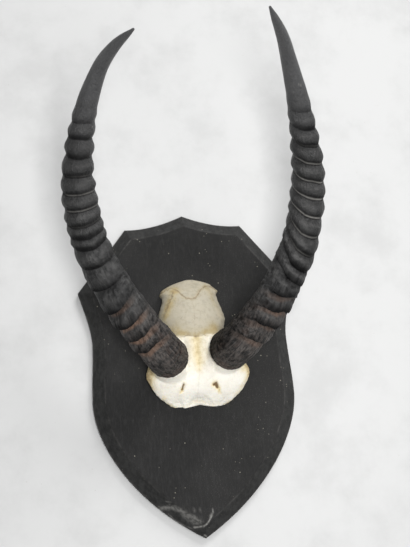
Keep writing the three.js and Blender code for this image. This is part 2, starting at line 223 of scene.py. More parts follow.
# Scrapes through the paint at the tip: route, half width, how pale, how deep
SCRAPES = (
    (
        ((-50.6, -157.3), (-42, -156.6), (-33.1, -157.8), (-27.2, -161.3), (-17.4, -168), (-6.6, -174.9)),
        2.4, 0.4, 0.6,
    ),
    (
        ((9.2, -164.8), (7.4, -169.5), (5.1, -173), (1.5, -178.2), (-2.8, -180.7), (-13.2, -181.4)),
        1.0, 0.7, 0.4,
    ),
    (((-41.4, -164.2), (-33.8, -172.8), (-22.9, -179.6), (-14.9, -182.3)), 0.9, 0.25, 0.2),
    (((-25, -163.8), (-18, -172), (-10.5, -176)), 3.2, 0.3, 0.6),
    (((-44.9, -149.4), (-38.8, -150.9)), 0.8, 0.25, 0.2),
    (((-14, -161.9), (-4.7, -162.7)), 0.9, 0.18, 0.1),
    (((-1.5, -191), (0.5, -192.6)), 0.8, 0.5, 0.1),
)

# ---- Stage ----

LAMPS = {  # place and side of each square lamp
    "window": ((0.78, 1.6, 1.3), 1.0),
    "lamp": ((0.65, -0.35, 0.95), 0.6),
    "flash": ((-0.02, -0.12, 1.05), 0.25),
}
SKY_COLOUR = (0.97, 0.985, 1.0, 1.0)
SENSOR_WIDTH = 36.0
TABLE_HEIGHT = -0.2 * MM  # just clear of the shield's back


# ---- Arrays ----


def smooth(low, high, x):
    """Smoothstep: 3t² - 2t³ with t the share of the way from low to high, held to 0..1. It falls where low
    is the greater."""
    t = np.clip((x - low) / (high - low), 0.0, 1.0)
    return t * t * (3.0 - 2.0 * t)


def bell(x, width):
    """exp(-(x / width)²), which is 1 at x = 0."""
    return np.exp(-((x / width) ** 2))


def unit(vectors):
    """Vectors divided by their lengths."""
    return vectors / np.linalg.norm(vectors, axis=-1, keepdims=True)


def lattice_noise(rng, across, along, cells_across, cells_along):
    """Smooth random heights from -1 to 1: random values on a lattice that wraps round across, mixed between
    the four nearest corners with smoothstep weights. across and along run from 0 to 1."""
    lattice = rng.uniform(-1.0, 1.0, (cells_along + 2, cells_across))
    x = (across % 1.0) * cells_across
    y = np.clip(along, 0.0, 1.0) * cells_along
    column = np.floor(x).astype(int) % cells_across
    row = np.floor(y).astype(int)
    right = (column + 1) % cells_across
    wx = smooth(0, 1, x - np.floor(x))
    wy = smooth(0, 1, y - row)
    near = lattice[row, column] * (1 - wx) + lattice[row, right] * wx
    far = lattice[row + 1, column] * (1 - wx) + lattice[row + 1, right] * wx
    return near * (1 - wy) + far * wy


def blurred(values, spread, axis):
    """Values averaged along an axis with bell weights; spread is in steps, and the ends are held."""
    reach = int(math.ceil(3 * spread))
    weights = bell(np.arange(-reach, reach + 1), spread * math.sqrt(2))
    weights /= weights.sum()
    padding = [(0, 0)] * values.ndim
    padding[axis] = (reach, reach)
    held = np.pad(values, padding, mode="edge")
    return np.apply_along_axis(lambda row: np.convolve(row, weights, mode="valid"), axis, held)


def table_curve(table, column, at, spread):
    """A table's column at the places at: straight between its rows, then rounded by a bell of that spread."""
    rows = np.array(table, float)
    fine = np.linspace(rows[0, 0], rows[-1, 0], 1200)
    step = fine[1] - fine[0]
    return np.interp(at, fine, blurred(np.interp(fine, rows[:, 0], rows[:, column]), spread / step, 0))


def interpolated(at, along, rows):
    """Rows of numbers at the places at, straight between the ones that stand at the places along."""
    return np.stack([np.interp(at, along, column) for column in rows.T], axis=-1)


def wrapped(angle):
    """The same angle between -pi and pi."""
    return np.angle(np.exp(1j * angle))


def line_distance(x, y, line):
    """Distance from each point to the nearest piece of a broken line: the foot of the perpendicular on each
    piece, held between its ends."""
    nearest = np.full(np.shape(x), np.inf)
    for (ax, ay), (bx, by) in zip(line, line[1:]):
        dx, dy = bx - ax, by - ay
        share = np.clip(((x - ax) * dx + (y - ay) * dy) / (dx * dx + dy * dy), 0.0, 1.0)
        nearest = np.minimum(nearest, np.hypot(x - ax - share * dx, y - ay - share * dy))
    return nearest


def near_line(x, y, line, width):
    """A bell of that width over the distance to a broken line."""
    return bell(line_distance(x, y, line), width)


# ---- Meshes ----


class Shell:
    """Collects the loops of points of one closed skin, and the faces between them, as whole arrays."""

    def __init__(self):
        self.points = []
        self.faces = []
        self.count = 0

    def add(self, points):
        """Adds points in metres, of any leading shape, and returns their numbers in that shape."""
        flat = np.asarray(points, float).reshape(-1, 3)
        self.points.append(flat)
        numbers = np.arange(self.count, self.count + len(flat)).reshape(np.shape(points)[:-1])
        self.count += len(flat)
        return numbers

    def skin(self, loops):
        """Quads between neighbouring rows of loops, each of which closes on itself."""
        onward = np.roll(loops, -1, axis=1)
        quads = np.stack([loops[:-1], onward[:-1], onward[1:], loops[1:]], axis=-1)
        self.faces.append(quads.reshape(-1, 4))

    def tube(self, points):
        """Adds rows of points, skins them, and returns their numbers."""
        loops = self.add(points)
        self.skin(loops)
        return loops

    def fan(self, loop, centre):
        """Triangles from a loop to a new point."""
        middle = np.full(loop.shape, self.add([centre])[0])
        self.faces.append(np.stack([middle, loop, np.roll(loop, -1)], axis=-1))

    def sheet(self, outer, holes):
        """A flat sheet at one height, bounded by the outer loop and open at the holes: a Delaunay
        triangulation that keeps every loop's edges."""
        numbers = np.concatenate([outer, *holes])
        places = np.concatenate(self.points)[numbers]
        edges = []
        start = 0
        for loop in (outer, *holes):
            edges += [(start + i, start + (i + 1) % len(loop)) for i in range(len(loop))]
            start += len(loop)
        flat = [Vector(place[:2]) for place in places.tolist()]
        faces = delaunay_2d_cdt(flat, edges, [], 4, 1e-9)[2]
        self.faces.append(numbers[np.array([f for f in faces if len(f) == 3])])

    def piece(self, name, fields):
        """The finished object: one mesh with its faces turned outwards, smooth, with fields on its points."""
        mesh = bpy.data.meshes.new(name)
        points = np.concatenate(self.points)
        mesh.from_pydata(points.tolist(), [], [face for faces in self.faces for face in faces.tolist()])
        for field, values in fields.items():
            spread = np.zeros((len(points), *values.shape[1:]), np.float32)
            spread[: len(values)] = values
            kind, key = ("FLOAT_VECTOR", "vector") if values.ndim > 1 else ("FLOAT", "value")
            mesh.attributes.new(field, kind, "POINT").data.foreach_set(key, spread.ravel())
        made = bmesh.new()
        made.from_mesh(mesh)
        bmesh.ops.recalc_face_normals(made, faces=made.faces)
        made.to_mesh(mesh)
        made.free()
        mesh.polygons.foreach_set("use_smooth", np.ones(len(mesh.polygons), bool))
        mesh.update()
        made_object = bpy.data.objects.new(name, mesh)
        bpy.context.scene.collection.objects.link(made_object)
        return made_object


def shares(grids):
    """Named grids held to 0..1, as lists of values for the points."""
    return {name: np.clip(grid, 0, 1).ravel() for name, grid in grids.items()}


def settle(piece, material, node):
    """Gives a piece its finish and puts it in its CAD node's place."""
    piece.data.materials.append(material)
    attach(piece, BODY)
    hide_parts(node)


# ---- Materials ----


class Finish:
    """One node material, written from the first coat of colour to the last. Most calls add a node and give
    back its output."""

    def __init__(self, name, colours):
        self.colours = colours
        self.material = bpy.data.materials.new(name)
        self.material.use_nodes = True
        self.tree = self.material.node_tree
        self.colour = None
        self.relief = None

    def feed(self, socket, value):
        if isinstance(value, bpy.types.NodeSocket):
            self.tree.links.new(value, socket)
        else:
            socket.default_value = value

    def node(self, kind, inputs, output, **settings):
        made = self.tree.nodes.new("ShaderNode" + kind)
        for setting, value in settings.items():
            setattr(made, setting, value)
        for socket, value in inputs.items():
            self.feed(made.inputs[socket], value)
        return made.outputs[output]

    def place(self):
        return self.node("TexCoord", {}, "Object")

    def field(self, name, output="Fac"):
        return self.node("Attribute", {}, output, attribute_name=name)

    def noise(self, vector, scale, detail=3.0, roughness=0.5):
        """Fractal noise. A scale of three numbers stretches it along the axes."""
        if isinstance(scale, tuple):
            vector = self.node("Mapping", {"Vector": vector, "Scale": scale}, "Vector")
            scale = 1.0
        inputs = {"Vector": vector, "Scale": scale, "Detail": detail, "Roughness": roughness}
        return self.node("TexNoise", inputs, "Fac")

    def spots(self, vector, scale, radius):
        """Round spots at the middles of Voronoi cells: 1 inside the radius, given as a share of a cell."""
        cell = self.node("TexVoronoi", {"Vector": vector, "Scale": scale}, "Distance")
        return self.ramp(cell, radius, radius * 0.6)

    def ramp(self, value, low, high, bottom=0.0, top=1.0):
        """Smoothstep from bottom at low to top at high."""
        if low > high:
            low, high, bottom, top = high, low, top, bottom
        inputs = {"Value": value, "From Min": low, "From Max": high, "To Min": bottom, "To Max": top}
        return self.node("MapRange", inputs, "Result", interpolation_type="SMOOTHSTEP")

    def maths(self, operation, a, b):
        return self.node("Math", {0: a, 1: b}, "Value", operation=operation)

    def product(self, first, *others):
        for other in others:
            first = self.maths("MULTIPLY", first, other)
        return first

    def coat(self, colour, *shares, blend="MIX"):
        """Lays a named colour over the ones before it, in a share that is the product of the given ones. The
        first coat has no share. The colour may also be another mix."""
        paint = (*getattr(self.colours, colour), 1.0) if isinstance(colour, str) else colour
        inputs = {0: self.product(*shares), 6: self.colour, 7: paint} if shares else None
        self.colour = self.node("Mix", inputs, 2, data_type="RGBA", blend_type=blend) if shares else paint

    def bump(self, height, distance):
        """Adds relief, this high in metres, over the relief before it."""
        under = {} if self.relief is None else {"Normal": self.relief}
        self.relief = self.node("Bump", {"Height": height, "Distance": distance, **under}, "Normal")

    def finished(self, **values):
        """Sets the shader's own sockets, whose names have underscores for spaces, and gives the material."""
        shader = self.tree.nodes["Principled BSDF"]
        if self.relief is not None:
            values["Normal"] = self.relief
        for socket, value in {"Base_Color": self.colour, **values}.items():
            self.feed(shader.inputs[socket.replace("_", " ")], value)
        return self.material


def horn_finish(colours):
    """Horn: charcoal keratin with fibres along it and growth lines round it, painted shade between its rings,
    in its hollows and on its inner side, brown and pitted near the base with tan where layers show, pale worn
    rims, a painted highlight on its ring crests and tips, and smoother, greyer tips."""
    finish = Finish("horn_keratin", colours)
    grain = finish.field("grain", "Vector")
    tip = finish.field("tip")
    shaded = finish.field("shaded")
    fibre = finish.noise(grain, (900, 900, 45), 4.0, 0.6)
    growth = finish.noise(grain, (45, 45, 620), 3.0, 0.55)
    cloud = finish.noise(grain, 75.0, 5.0, 0.65)
    mottle = finish.noise(grain, (330, 330, 190), 5.0, 0.75)
    finish.coat("charcoal")
    finish.coat("base", finish.ramp(mottle, 0.42, 0.58))
    finish.coat("russet", finish.ramp(finish.noise(grain, 70.0, 2.0), 0.52, 0.66, 0.0, 0.45))
    finish.coat("fibre", finish.ramp(fibre, 0.52, 0.7, 0.0, 0.6))
    pitted = finish.colour
    finish.coat("deep")
    finish.coat("charcoal", finish.ramp(cloud, 0.35, 0.65))
    finish.coat("grey", finish.ramp(growth, 0.35, 0.75, 0.0, 0.35))
    finish.coat("grey", finish.ramp(fibre, 0.5, 0.72), finish.ramp(tip, 1.0, 0.0, 0.1, 0.6))
    # Painted highlight on the ring crests and the tips.
    finish.coat("crest", finish.field("crest"), finish.ramp(cloud, 0.3, 0.7, 0.25, 0.95))
    finish.coat("tip", tip, 0.6)
    finish.coat(pitted, finish.field("base"), 0.75)
    finish.coat("tan", finish.field("tan"), finish.ramp(fibre, 0.25, 0.7, 0.45, 1.0))
    # Painted shade in the grooves, in the hollows of the texture and on the inner side.
    finish.coat("deep", shaded, 0.85)
    # Painted shade, near black, along the rims of the rings.
    finish.coat("under", finish.field("under"))
    finish.coat("rim", finish.field("rim"), finish.ramp(cloud, 0.3, 0.6, 0.7, 1.0))
    finish.bump(finish.noise(grain, (340, 340, 240), 5.0, 0.62), 0.0022)
    finish.bump(fibre, 0.0004)
    finish.bump(growth, 0.0003)
    smoother = finish.product(finish.field("upper"), -0.2)
    rough = finish.maths("ADD", finish.ramp(fibre, 0.3, 0.7, 0.52, 0.7), smoother)
    shine = finish.ramp(shaded, 0.0, 0.9, 0.39, 0.05)
    return finish.finished(Roughness=rough, Specular_IOR_Level=shine)


def bone_finish(colours):
    """Bone: chalk-white frontals, a greyer braincase, ochre stains, brown sutures and fine pores."""
    finish = Finish("bleached_bone", colours)
    place = finish.place()
    cream = finish.field("cream")
    cloud = finish.noise(place, 55.0, 5.0, 0.6)
    fine = finish.noise(place, 420.0, 3.0, 0.6)
    mottle = finish.noise(place, 170.0, 5.0, 0.7)
    stain = finish.product(
        finish.field("stain"),
        finish.ramp(cloud, 0.25, 0.65, 0.4, 1.1),
        finish.ramp(mottle, 0.38, 0.62, 0.85, 1.15),
    )
    pores = finish.spots(place, 700.0, 0.22)
    finish.coat("chalk")
    finish.coat("cream", cream)
    finish.coat("shade", finish.ramp(cloud, 0.42, 0.72), finish.ramp(cream, 0.0, 1.0, 0.15, 0.5))
    finish.coat("mottle", finish.ramp(mottle, 0.46, 0.66), finish.ramp(cream, 0.0, 1.0, 0.08, 0.55))
    finish.coat("honey", finish.ramp(stain, 0.0, 0.8), blend="MULTIPLY")
    finish.coat("ochre", finish.ramp(stain, 0.5, 1.3))
    finish.coat("suture", finish.field("suture"), finish.ramp(mottle, 0.35, 0.6, 0.6, 1.2))
    finish.coat("pit", finish.field("pit"))
    finish.coat("suture", pores, 0.22)
    finish.bump(cloud, 0.0011)
    finish.bump(fine, 0.0002)
    finish.bump(finish.ramp(pores, 0.0, 1.0, 1.0, 0.0), 0.0001)
    return finish.finished(
        Roughness=finish.ramp(fine, 0.3, 0.7, 0.5, 0.72),
        Specular_IOR_Level=0.35,
        Subsurface_Weight=0.12,
        Subsurface_Radius=(0.004, 0.003, 0.002),
        Subsurface_Scale=0.5,
    )


def paint_finish(colours):
    """Black paint on wood: brush strokes along the board, wood pores telegraphing through, rubbed edges with
    a painted highlight along the arrises, scrapes down to grey primer at the tip, and a dusting of pale
    specks."""
    finish = Finish("black_painted_wood", colours)
    place = finish.place()
    scrape = finish.field("scrape")
    strokes = finish.noise(place, (420, 60, 420), 4.0, 0.65)
    grain = finish.noise(place, (190, 120, 190), 5.0, 0.7)
    cloud = finish.noise(place, 14.0, 4.0, 0.6)
    sparse = finish.ramp(finish.noise(place, 60.0, 1.0), 0.56, 0.68)
    finish.coat("black")
    finish.coat("faded", finish.ramp(cloud, 0.35, 0.7))
    finish.coat("faded", finish.ramp(grain, 0.45, 0.7, 0.0, 0.6))
    finish.coat("rubbed", finish.ramp(strokes, 0.5, 0.7, 0.0, 0.4))
    finish.coat("rubbed", finish.field("chamfer"), finish.ramp(grain, 0.35, 0.65, 0.3, 0.95))
    # Paint worn thin along the arrises, with a painted highlight where they catch the light.
    finish.coat("edge", finish.field("wear"), finish.ramp(grain, 0.35, 0.62, 0.25, 1.0))
    finish.coat("primer", scrape, finish.ramp(finish.noise(place, 300.0), 0.32, 0.6, 0.35, 1.0))
    finish.coat("dust", finish.spots(place, 190.0, 0.14), sparse, 0.55)
    finish.coat("edge", finish.spots(place, 620.0, 0.2), finish.ramp(cloud, 0.4, 0.65, 0.1, 0.5))
    finish.bump(strokes, 0.00012)
    finish.bump(grain, 0.00022)
    rough = finish.maths("ADD", finish.ramp(strokes, 0.3, 0.7, 0.6, 0.74), finish.product(scrape, 0.25))
    return finish.finished(Roughness=rough, Specular_IOR_Level=0.24)


def zinc_finish(colours):
    """Zinc plate on steel: a dull grey metal with faint spangles and fine scratches."""
    finish = Finish("zinc_steel", colours)
    place = finish.place()
    scratch = finish.noise(place, (60, 1800, 1800), 2.0)
    finish.coat("zinc_dark")
    finish.coat("zinc", finish.noise(place, 260.0, 3.0, 0.6))
    finish.bump(scratch, 0.00003)
    return finish.finished(Roughness=finish.ramp(scratch, 0.3, 0.7, 0.32, 0.52), Metallic=1.0)


def table_finish(colours):
    """A pale table: matt white paint with faint grey rubs, smudges and a few specks."""
    finish = Finish("pale_table", colours)
    place = finish.place()
    rubs = finish.noise(place, 9.0, 6.0, 0.65)
    smudges = finish.noise(place, 70.0, 4.0, 0.7)
    sparse = finish.ramp(finish.noise(place, 21.0, 1.0), 0.5, 0.65, 0.0, 0.6)
    finish.coat("table")
    finish.coat("table_rub", finish.ramp(rubs, 0.42, 0.7, 0.0, 0.9))
    finish.coat("table_mark", finish.ramp(smudges, 0.6, 0.8, 0.0, 0.12))
    finish.coat("table_mark", finish.spots(place, 75.0, 0.05), sparse)
    return finish.finished(Roughness=0.7, Specular_IOR_Level=0.2)


# ---- Horns ----


def horn_centreline(points, at):
    """Places along a horn's middle line, its directions there, and its length. The line is a centripetal
    Catmull-Rom curve: each span is p1 + m1 w + (3 p2 - 3 p1 - 2 m1 - m2) w² + (2 p1 - 2 p2 + m1 + m2) w³,
    whose slopes m come from the neighbouring points, spaced by the roots of their distances. at is in
    shares of the length."""
    knots = np.array(points, float) * MM
    knots = np.vstack([2 * knots[0] - knots[1], knots, 2 * knots[-1] - knots[-2]])
    gaps = np.linalg.norm(np.diff(knots, axis=0), axis=1) ** 0.5
    run = np.linspace(0, len(points) - 1, 6001)
    span = np.minimum(run.astype(int), len(points) - 2)
    w = (run - span)[:, None]
    p0, p1, p2, p3 = (knots[span + i] for i in range(4))
    d0, d1, d2 = (gaps[span + i][:, None] for i in range(3))
    m1 = ((p1 - p0) / d0 - (p2 - p0) / (d0 + d1) + (p2 - p1) / d1) * d1
    m2 = ((p2 - p1) / d1 - (p3 - p1) / (d1 + d2) + (p3 - p2) / d2) * d1
    line = p1 + m1 * w + (3 * p2 - 3 * p1 - 2 * m1 - m2) * w**2 + (2 * p1 - 2 * p2 + m1 + m2) * w**3
    along = np.concatenate([[0], np.cumsum(np.linalg.norm(np.diff(line, axis=0), axis=1))])
    slope = unit(np.gradient(line, axis=0))
    where = at * along[-1]
    return interpolated(where, along, line), unit(interpolated(where, along, slope)), along[-1]


def base_facing(side):
    """The way a horn's flat base faces, leaning out to its side and back."""
    return unit(np.array([side * BASE_LEAN[0], BASE_LEAN[1], 1.0]))


def horn_frames(tangent, s, length, side):
    """The way each section faces, its front and its outer side. The front runs from the brow side at the
    base round to the viewer's side in the middle and back again at the tip, as the horn bends."""
    turned = smooth(0, BASE_BLEND * MM, s)[:, None]
    facing = unit(base_facing(side) * (1 - turned) + tangent * turned)
    lean = (smooth(0, 0.3 * length, s) * smooth(length, 0.6 * length, s))[:, None]
    wanted = np.array([0, -1.0, 0]) * (1 - lean) + np.array([0, 0, 1.0]) * lean
    front = unit(wanted - facing * np.sum(wanted * facing, axis=1, keepdims=True))
    outer = side * np.cross(facing, front)
    return facing, front, outer


def turned_to(angle):
    """0.5 + 0.5 cos(angle): 1 on the side at angle 0, and 0 on the far side."""
    return 0.5 + 0.5 * np.cos(angle)


class HornGrid:
    """One horn's grid of points, by distance s along it and angle theta round it, in metres and radians.
    p runs from 0 at a ring's lower rim to 1 at the next one's, number is the ring, gap is the distance
    between the two rims, soft is 0 for lipped rings and 1 for rounded ones, and grown is the distance along
    the horn with the rings' dips taken out."""

    def __init__(self, name):
        self.name = name
        self.rng = np.random.default_rng(SEEDS[name])
        length = horn_centreline(HORN_LINES[name], np.array([0.0]))[2]
        self.stations = horn_stations(length)
        self.centre, tangent, self.length = horn_centreline(HORN_LINES[name], self.stations / length)
        self.facing, self.front, self.outer = horn_frames(tangent, self.stations, self.length, SIDES[name])
        angles = np.linspace(0, math.tau, ROUND_STEPS, endpoint=False)
        self.s, self.theta = np.meshgrid(self.stations, angles, indexing="ij")

        to_point = np.array(FRONT_POINT) * MM - self.centre
        ahead = np.unwrap(np.arctan2(*(np.sum(to_point * way, axis=1) for way in (self.outer, self.front))))
        from_front = self.theta - ahead[:, None]
        # How squarely each point faces the front point; used only to place the painted highlight on the ring
        # crests.
        self.front_side = turned_to(from_front)
        self.keel_side = turned_to(from_front - KEEL_TURN)
        self.tan_side = turned_to(from_front - KEEL_TURN - TAN_TURN)
        self.outer_side = np.sin(from_front)
        self.place_rings(ahead)

        zones = {zone: smooth(*span, self.s) for zone, span in ZONES.items()}
        self.low, self.rough, self.smooth_tip = zones["low"], zones["rough"], zones["tip"]
        self.ringed = zones["first_ring"] * zones["last_ring"]
        self.lined = 1 - 0.85 * self.low * smooth(0.15, -0.5, self.outer_side)
        self.uneven = 1 + 0.55 * self.low * self.noise(7, 26)

    def noise(self, cells_around, cells_along):
        across, along = self.theta / math.tau, self.s / self.length
        return lattice_noise(self.rng, across, along, cells_around, cells_along)

    def place_rings(self, ahead):
        """Finds where each point lies among the rings. With t the angle from the side that faces the front
        point, towards the outer side, a ring's lower rim runs round the horn at
        middle + tilt sin t - dip (0.6 cos t + 0.4 (1 - 2 |t| / pi)), and wanders a little."""
        outer, front, inner = np.array(RINGS[self.name], float).T[:, :, None] * MM
        middle = (outer + inner) / 2
        t = wrapped(self.theta[:1] - np.interp(middle, self.stations, ahead))
        dip = (middle - front) * (0.6 * np.cos(t) + 0.4 * (1 - 2 * np.abs(t) / math.pi))
        rims = middle + (outer - inner) / 2 * np.sin(t) - dip
        low = smooth(0.15, 0.06, self.s)
        wander = self.noise(9, 34) * (1.0 + low) + self.noise(26, 60) * 1.2 * low
        at = self.s + wander * MM * smooth(0.01, 0.05, self.s)
        order = np.arange(len(rims))
        columns = [np.interp(at[:, i], rims[:, i], order) for i in range(ROUND_STEPS)]
        phase = np.minimum(np.stack(columns, axis=1), order[-2] + 0.999)
        self.number = np.floor(phase).astype(int)
        self.p = phase - self.number
        self.gap = np.take_along_axis(np.diff(rims, axis=0), self.number, axis=0)
        self.grown = np.interp(phase, order, middle[:, 0])
        self.soft = smooth(*ROUNDING[self.name], self.grown)


def horn_stations(length):
    """Distances along the horn: close together over the rings, wider over the smooth tip, and at the end
    spaced as on a quarter circle."""
    last = length - NOSE * MM
    ringed = np.linspace(0, RINGS_END * MM, RING_STEPS, endpoint=False)
    plain = np.linspace(RINGS_END * MM, last, TIP_STEPS, endpoint=False)
    nose = last + NOSE * MM * np.sin(np.radians([0, 30, 55, 75]))
    return np.concatenate([ringed, plain, nose])


def ring_lift(horn, sizes):
    """How far rings raise the surface: a lip that rises at once from each lower rim and falls off slowly low
    on the horn, and a swell, like a raised cosine with full shoulders, above. The lips stand highest at the
    keel, where a low ridge joins them."""
    p, low = horn.p, horn.low
    lip = smooth(0, 0.1, p) * smooth(1.0, 0.15, p)
    swell = 0.5 - 0.5 * np.cos(math.tau * p**0.85)
    swell = 0.6 * swell + 0.4 * np.sqrt(swell)
    relief = sizes.ring_relief * (0.5 + 0.5 * smooth(0.14, 0.19, horn.s))
    relief += sizes.lip_relief * horn.keel_side**4 * low
    relief *= np.clip(horn.gap / (17 * MM), 0.6, 1.15) * horn.lined
    heights = horn.rng.uniform(0.85, 1.15, MOST_RINGS)[horn.number]
    shape = lip * (1 - horn.soft) + swell * horn.soft - 0.6
    ridge = sizes.lip_relief * 0.3 * (bell(1 - horn.keel_side, 0.35) - 0.35) * low * horn.ringed
    return relief * horn.ringed * horn.uneven * heights * shape + ridge


def pale_rims(horn):
    """How clearly the worn lower rims show on the front of the horn, and the pale nicks near its tip."""
    pale = np.zeros(MOST_RINGS)
    for ring, clarity in PALE_RIMS[horn.name]:
        pale[ring] = clarity
    turned = wrapped(horn.theta)
    in_front = smooth(-2.1, -1.5, turned) * smooth(1.2, 0.75, turned)
    line = bell((horn.p - 0.055) * horn.gap, 0.85 * MM) * pale[horn.number]
    rim = line * in_front * (0.75 + 0.25 * horn.noise(9, 40))
    nicks = near_line(horn.s, turned * 11.5 * MM, np.array(NICKS[horn.name]) * MM, 0.4 * MM)
    return rim, nicks


def worn_texture(horn):
    """Lumps, and the finer knobs, fibres, pits and layers, in millimetres. All but the lumps and the fibres
    fade out at the smooth tip."""
    rough, plain = horn.rough, 1 - horn.smooth_tip
    lumps = horn.noise(9, 40) * 0.7 * (1 - 0.8 * horn.smooth_tip)
    knobs = horn.noise(24, 110) * (0.18 + 0.35 * rough) * plain
    knobs += horn.noise(38, 190) * (0.12 + 0.3 * rough) * plain
    fibres = horn.noise(88, 60) * (0.04 + 0.3 * rough)
    pits = horn.noise(64, 300) * 0.55 * smooth(0.08, 0.03, horn.s)
    layers = np.cos(horn.grown / (3.7 * MM) * math.tau + lumps * 5) * (1.1 - TAN_LAYERS[horn.name])
    layers *= 0.3 * smooth(0.030, 0.014, horn.s) * smooth(0, 0.004, horn.s)
    return lumps, knobs + fibres + pits + layers


def horn_taper(horn):
    """The plain radius at each station, from its table and closed by half an ellipse at the tip."""
    taper = table_curve(HORN_TAPER, 1, horn.stations / horn.length, 0.012) * MM
    nose = taper[-5]
    past = np.clip(horn.stations - horn.length + nose, 0, None) / nose
    rounded = nose * np.sqrt(np.clip(1 - past**2, 0.002, 1))
    return np.minimum(taper, np.where(past > 0, rounded, 1.0))


def horn_colours(horn, lumps, texture):
    """Where the finish's colours show: tan in the layers under the lips, painted shade (black) under the
    rims, painted shade in the grooves and pits and on the inner side, and a painted highlight on the ring
    crests, strongest where they face the front point, with a painted sheen low on the horn."""
    s, ringed, rough, keel_side = horn.s, horn.ringed, horn.rough, horn.keel_side
    above, below = horn.p * horn.gap, (1 - horn.p) * horn.gap
    patch = 0.5 + 0.5 * horn.noise(5, 16)

    near_base = smooth(0.115, 0.075, s) * smooth(0.025, 0.040, s)
    tan = smooth(8 * MM, 4.5 * MM, below) * smooth(0.6 * MM, 1.6 * MM, below) * near_base
    tan *= horn.tan_side**4 * (0.6 + 0.8 * patch)
    layers = smooth(0.3, 0.95, np.cos(horn.grown / (4.2 * MM) * math.tau + lumps * 2))
    tan += 0.25 * smooth(0.045, 0.022, s) * layers * keel_side * patch

    # Painted shade: black along each lower rim, on both sides of it, where its shadow falls.
    under = smooth(1.3 * MM, 0.2 * MM, below) + smooth(1.3 * MM, 0.2 * MM, above)
    under *= ringed * (keel_side**2 * (1 - horn.soft) + 0.32 * horn.soft) * horn.lined

    # Painted shade over the lower part of each ring and just under the next rim, deeper on the outer side.
    over_rim = smooth(8.5 * MM, 0.8 * MM, above) * (0.75 + 0.3 * horn.outer_side)
    hollow = np.maximum(over_rim, 0.7 * smooth(1.8 * MM, 0, below))
    hollow *= ringed * np.clip(horn.uneven, 0.5, 1.2) * horn.lined
    # Painted shade on the inner side low on the horn, and away from the keel.
    inner = BASE_SHADE[horn.name] * smooth(0.10, 0.05, s) * smooth(0.25, -0.55, horn.outer_side)
    inner = inner * (0.6 + 0.5 * patch) + smooth(0.20, 0.12, s) * smooth(0.45, 0.15, keel_side)
    # Painted shade in the hollows of the worn texture.
    cavity = 0.5 * smooth(0.25, -1.0, texture) * (0.35 + 0.65 * rough)

    # Painted sheen: the ring crests drawn brighter low on the horn.
    painted_sheen = 1 + 1.1 * smooth(0.06, 0.09, s) * smooth(0.20, 0.16, s)
    # Painted highlight: the middle of each ring drawn lighter, most where it faces the front point, and also
    # on the tips and on the ridges of the worn texture.
    crest = bell(horn.p - 0.6, 0.2) * ringed * (0.3 + 0.7 * patch)
    crest = crest * (0.25 + 1.15 * horn.front_side**3) * painted_sheen + 0.8 * horn.smooth_tip
    crest = (crest + 0.15 * rough) * smooth(-0.5, 0.6, texture) + 0.6 * rough * smooth(0.2, 1.0, texture)
    return {
        "tan": tan * TAN_LAYERS[horn.name],
        "under": under * 0.85,
        "base": smooth(0.105, 0.04, s),
        "tip": smooth(0.26, 0.36, s),
        "upper": smooth(0.10, 0.20, s),
        "shaded": hollow + 0.8 * inner + cavity,
        "crest": crest,
    }


def build_horn(name, sizes, finish):
    """One horn. Its surface is centre + (front cos t + outer sin t) r - facing * droop over angle t and
    distance s, where r is the taper plus ring lift, texture and rims, and droop pulls each ring's lower rim
    over the groove beneath it."""
    horn = HornGrid(name)
    lift = ring_lift(horn, sizes)
    rim, nicks = pale_rims(horn)
    lumps, texture = worn_texture(horn)
    taper = horn_taper(horn)
    into_base = 1 - np.clip(horn.stations / (BASE_ROUND * MM), 0, 1)
    base_edge = BASE_ROUND * MM * (1 - np.sqrt(1 - into_base**2))
    plain = (taper - base_edge - 0.25 * MM * horn.smooth_tip[:, 0])[:, None]
    fading = np.minimum(1, taper / taper[0] * 1.6)[:, None]
    worn = (lumps + texture) * MM * (1 - 0.5 * smooth(0.05, 0.02, horn.s))
    radius = plain + lift + worn * fading + rim * 0.4 * MM
    droop = sizes.overhang * horn.ringed * (1 - horn.soft) * horn.keel_side**2 * horn.lined
    droop *= smooth(0, 0.1, horn.p) * smooth(0.42, 0.12, horn.p)
    cos, sin = np.cos(horn.theta), np.sin(horn.theta)
    spoke = horn.front[:, None] * cos[..., None] + horn.outer[:, None] * sin[..., None]
    points = horn.centre[:, None] + spoke * radius[..., None] - horn.facing[:, None] * droop[..., None]

    shell = Shell()
    loops = shell.tube(points)
    shell.fan(loops[0], horn.centre[0])
    shell.fan(loops[-1], horn.centre[-1] + horn.facing[-1] * 0.02 * MM)
    grain = np.stack([cos * taper[:, None], sin * taper[:, None], horn.grown], axis=-1).reshape(-1, 3)
    fields = shares({"rim": rim + 0.8 * nicks, **horn_colours(horn, lumps, texture)})
    settle(shell.piece(name + "_sheath", {"grain": grain, **fields}), finish, name)


# ---- Skull cap ----


def pedicle_reach(origin, ray, horn):
    """How far along each ray a horn's bone stump reaches from each origin, or 0 where the ray misses it. The
    stump is a cone about the axis through the horn's base: with h the height along the axis, the points
    whose squared distance from it is under (top radius - slope h)², and h under 0. That is a quadratic in
    the ray's length."""
    facing = base_facing(SIDES[horn])
    radius = PEDICLE["top"]
    slope = (PEDICLE["foot"] - radius) / PEDICLE["height"]
    start = origin - (np.array(HORN_LINES[horn][0], float) - facing * PEDICLE["gap"])
    h0 = start @ facing
    h1 = ray @ facing
    steep = 1 + slope**2
    a = 1 - steep * h1**2
    b = np.sum(start * ray, axis=-1) - steep * h0 * h1 + slope * radius * h1
    c = np.sum(start * start, axis=-1) - steep * h0**2 + 2 * slope * radius * h0 - radius**2
    inside = b * b - a * c
    root = np.sqrt(np.clip(inside, 0, None))
    far, near = (-b + root) / a, (-b - root) / a
    lid = np.where(h1 > 1e-6, -h0 / np.where(h1 > 1e-6, h1, 1), np.inf)
    reach = np.minimum(far, lid)
    return np.where((inside > 0) & (reach > near) & (reach > 0), reach, 0.0)


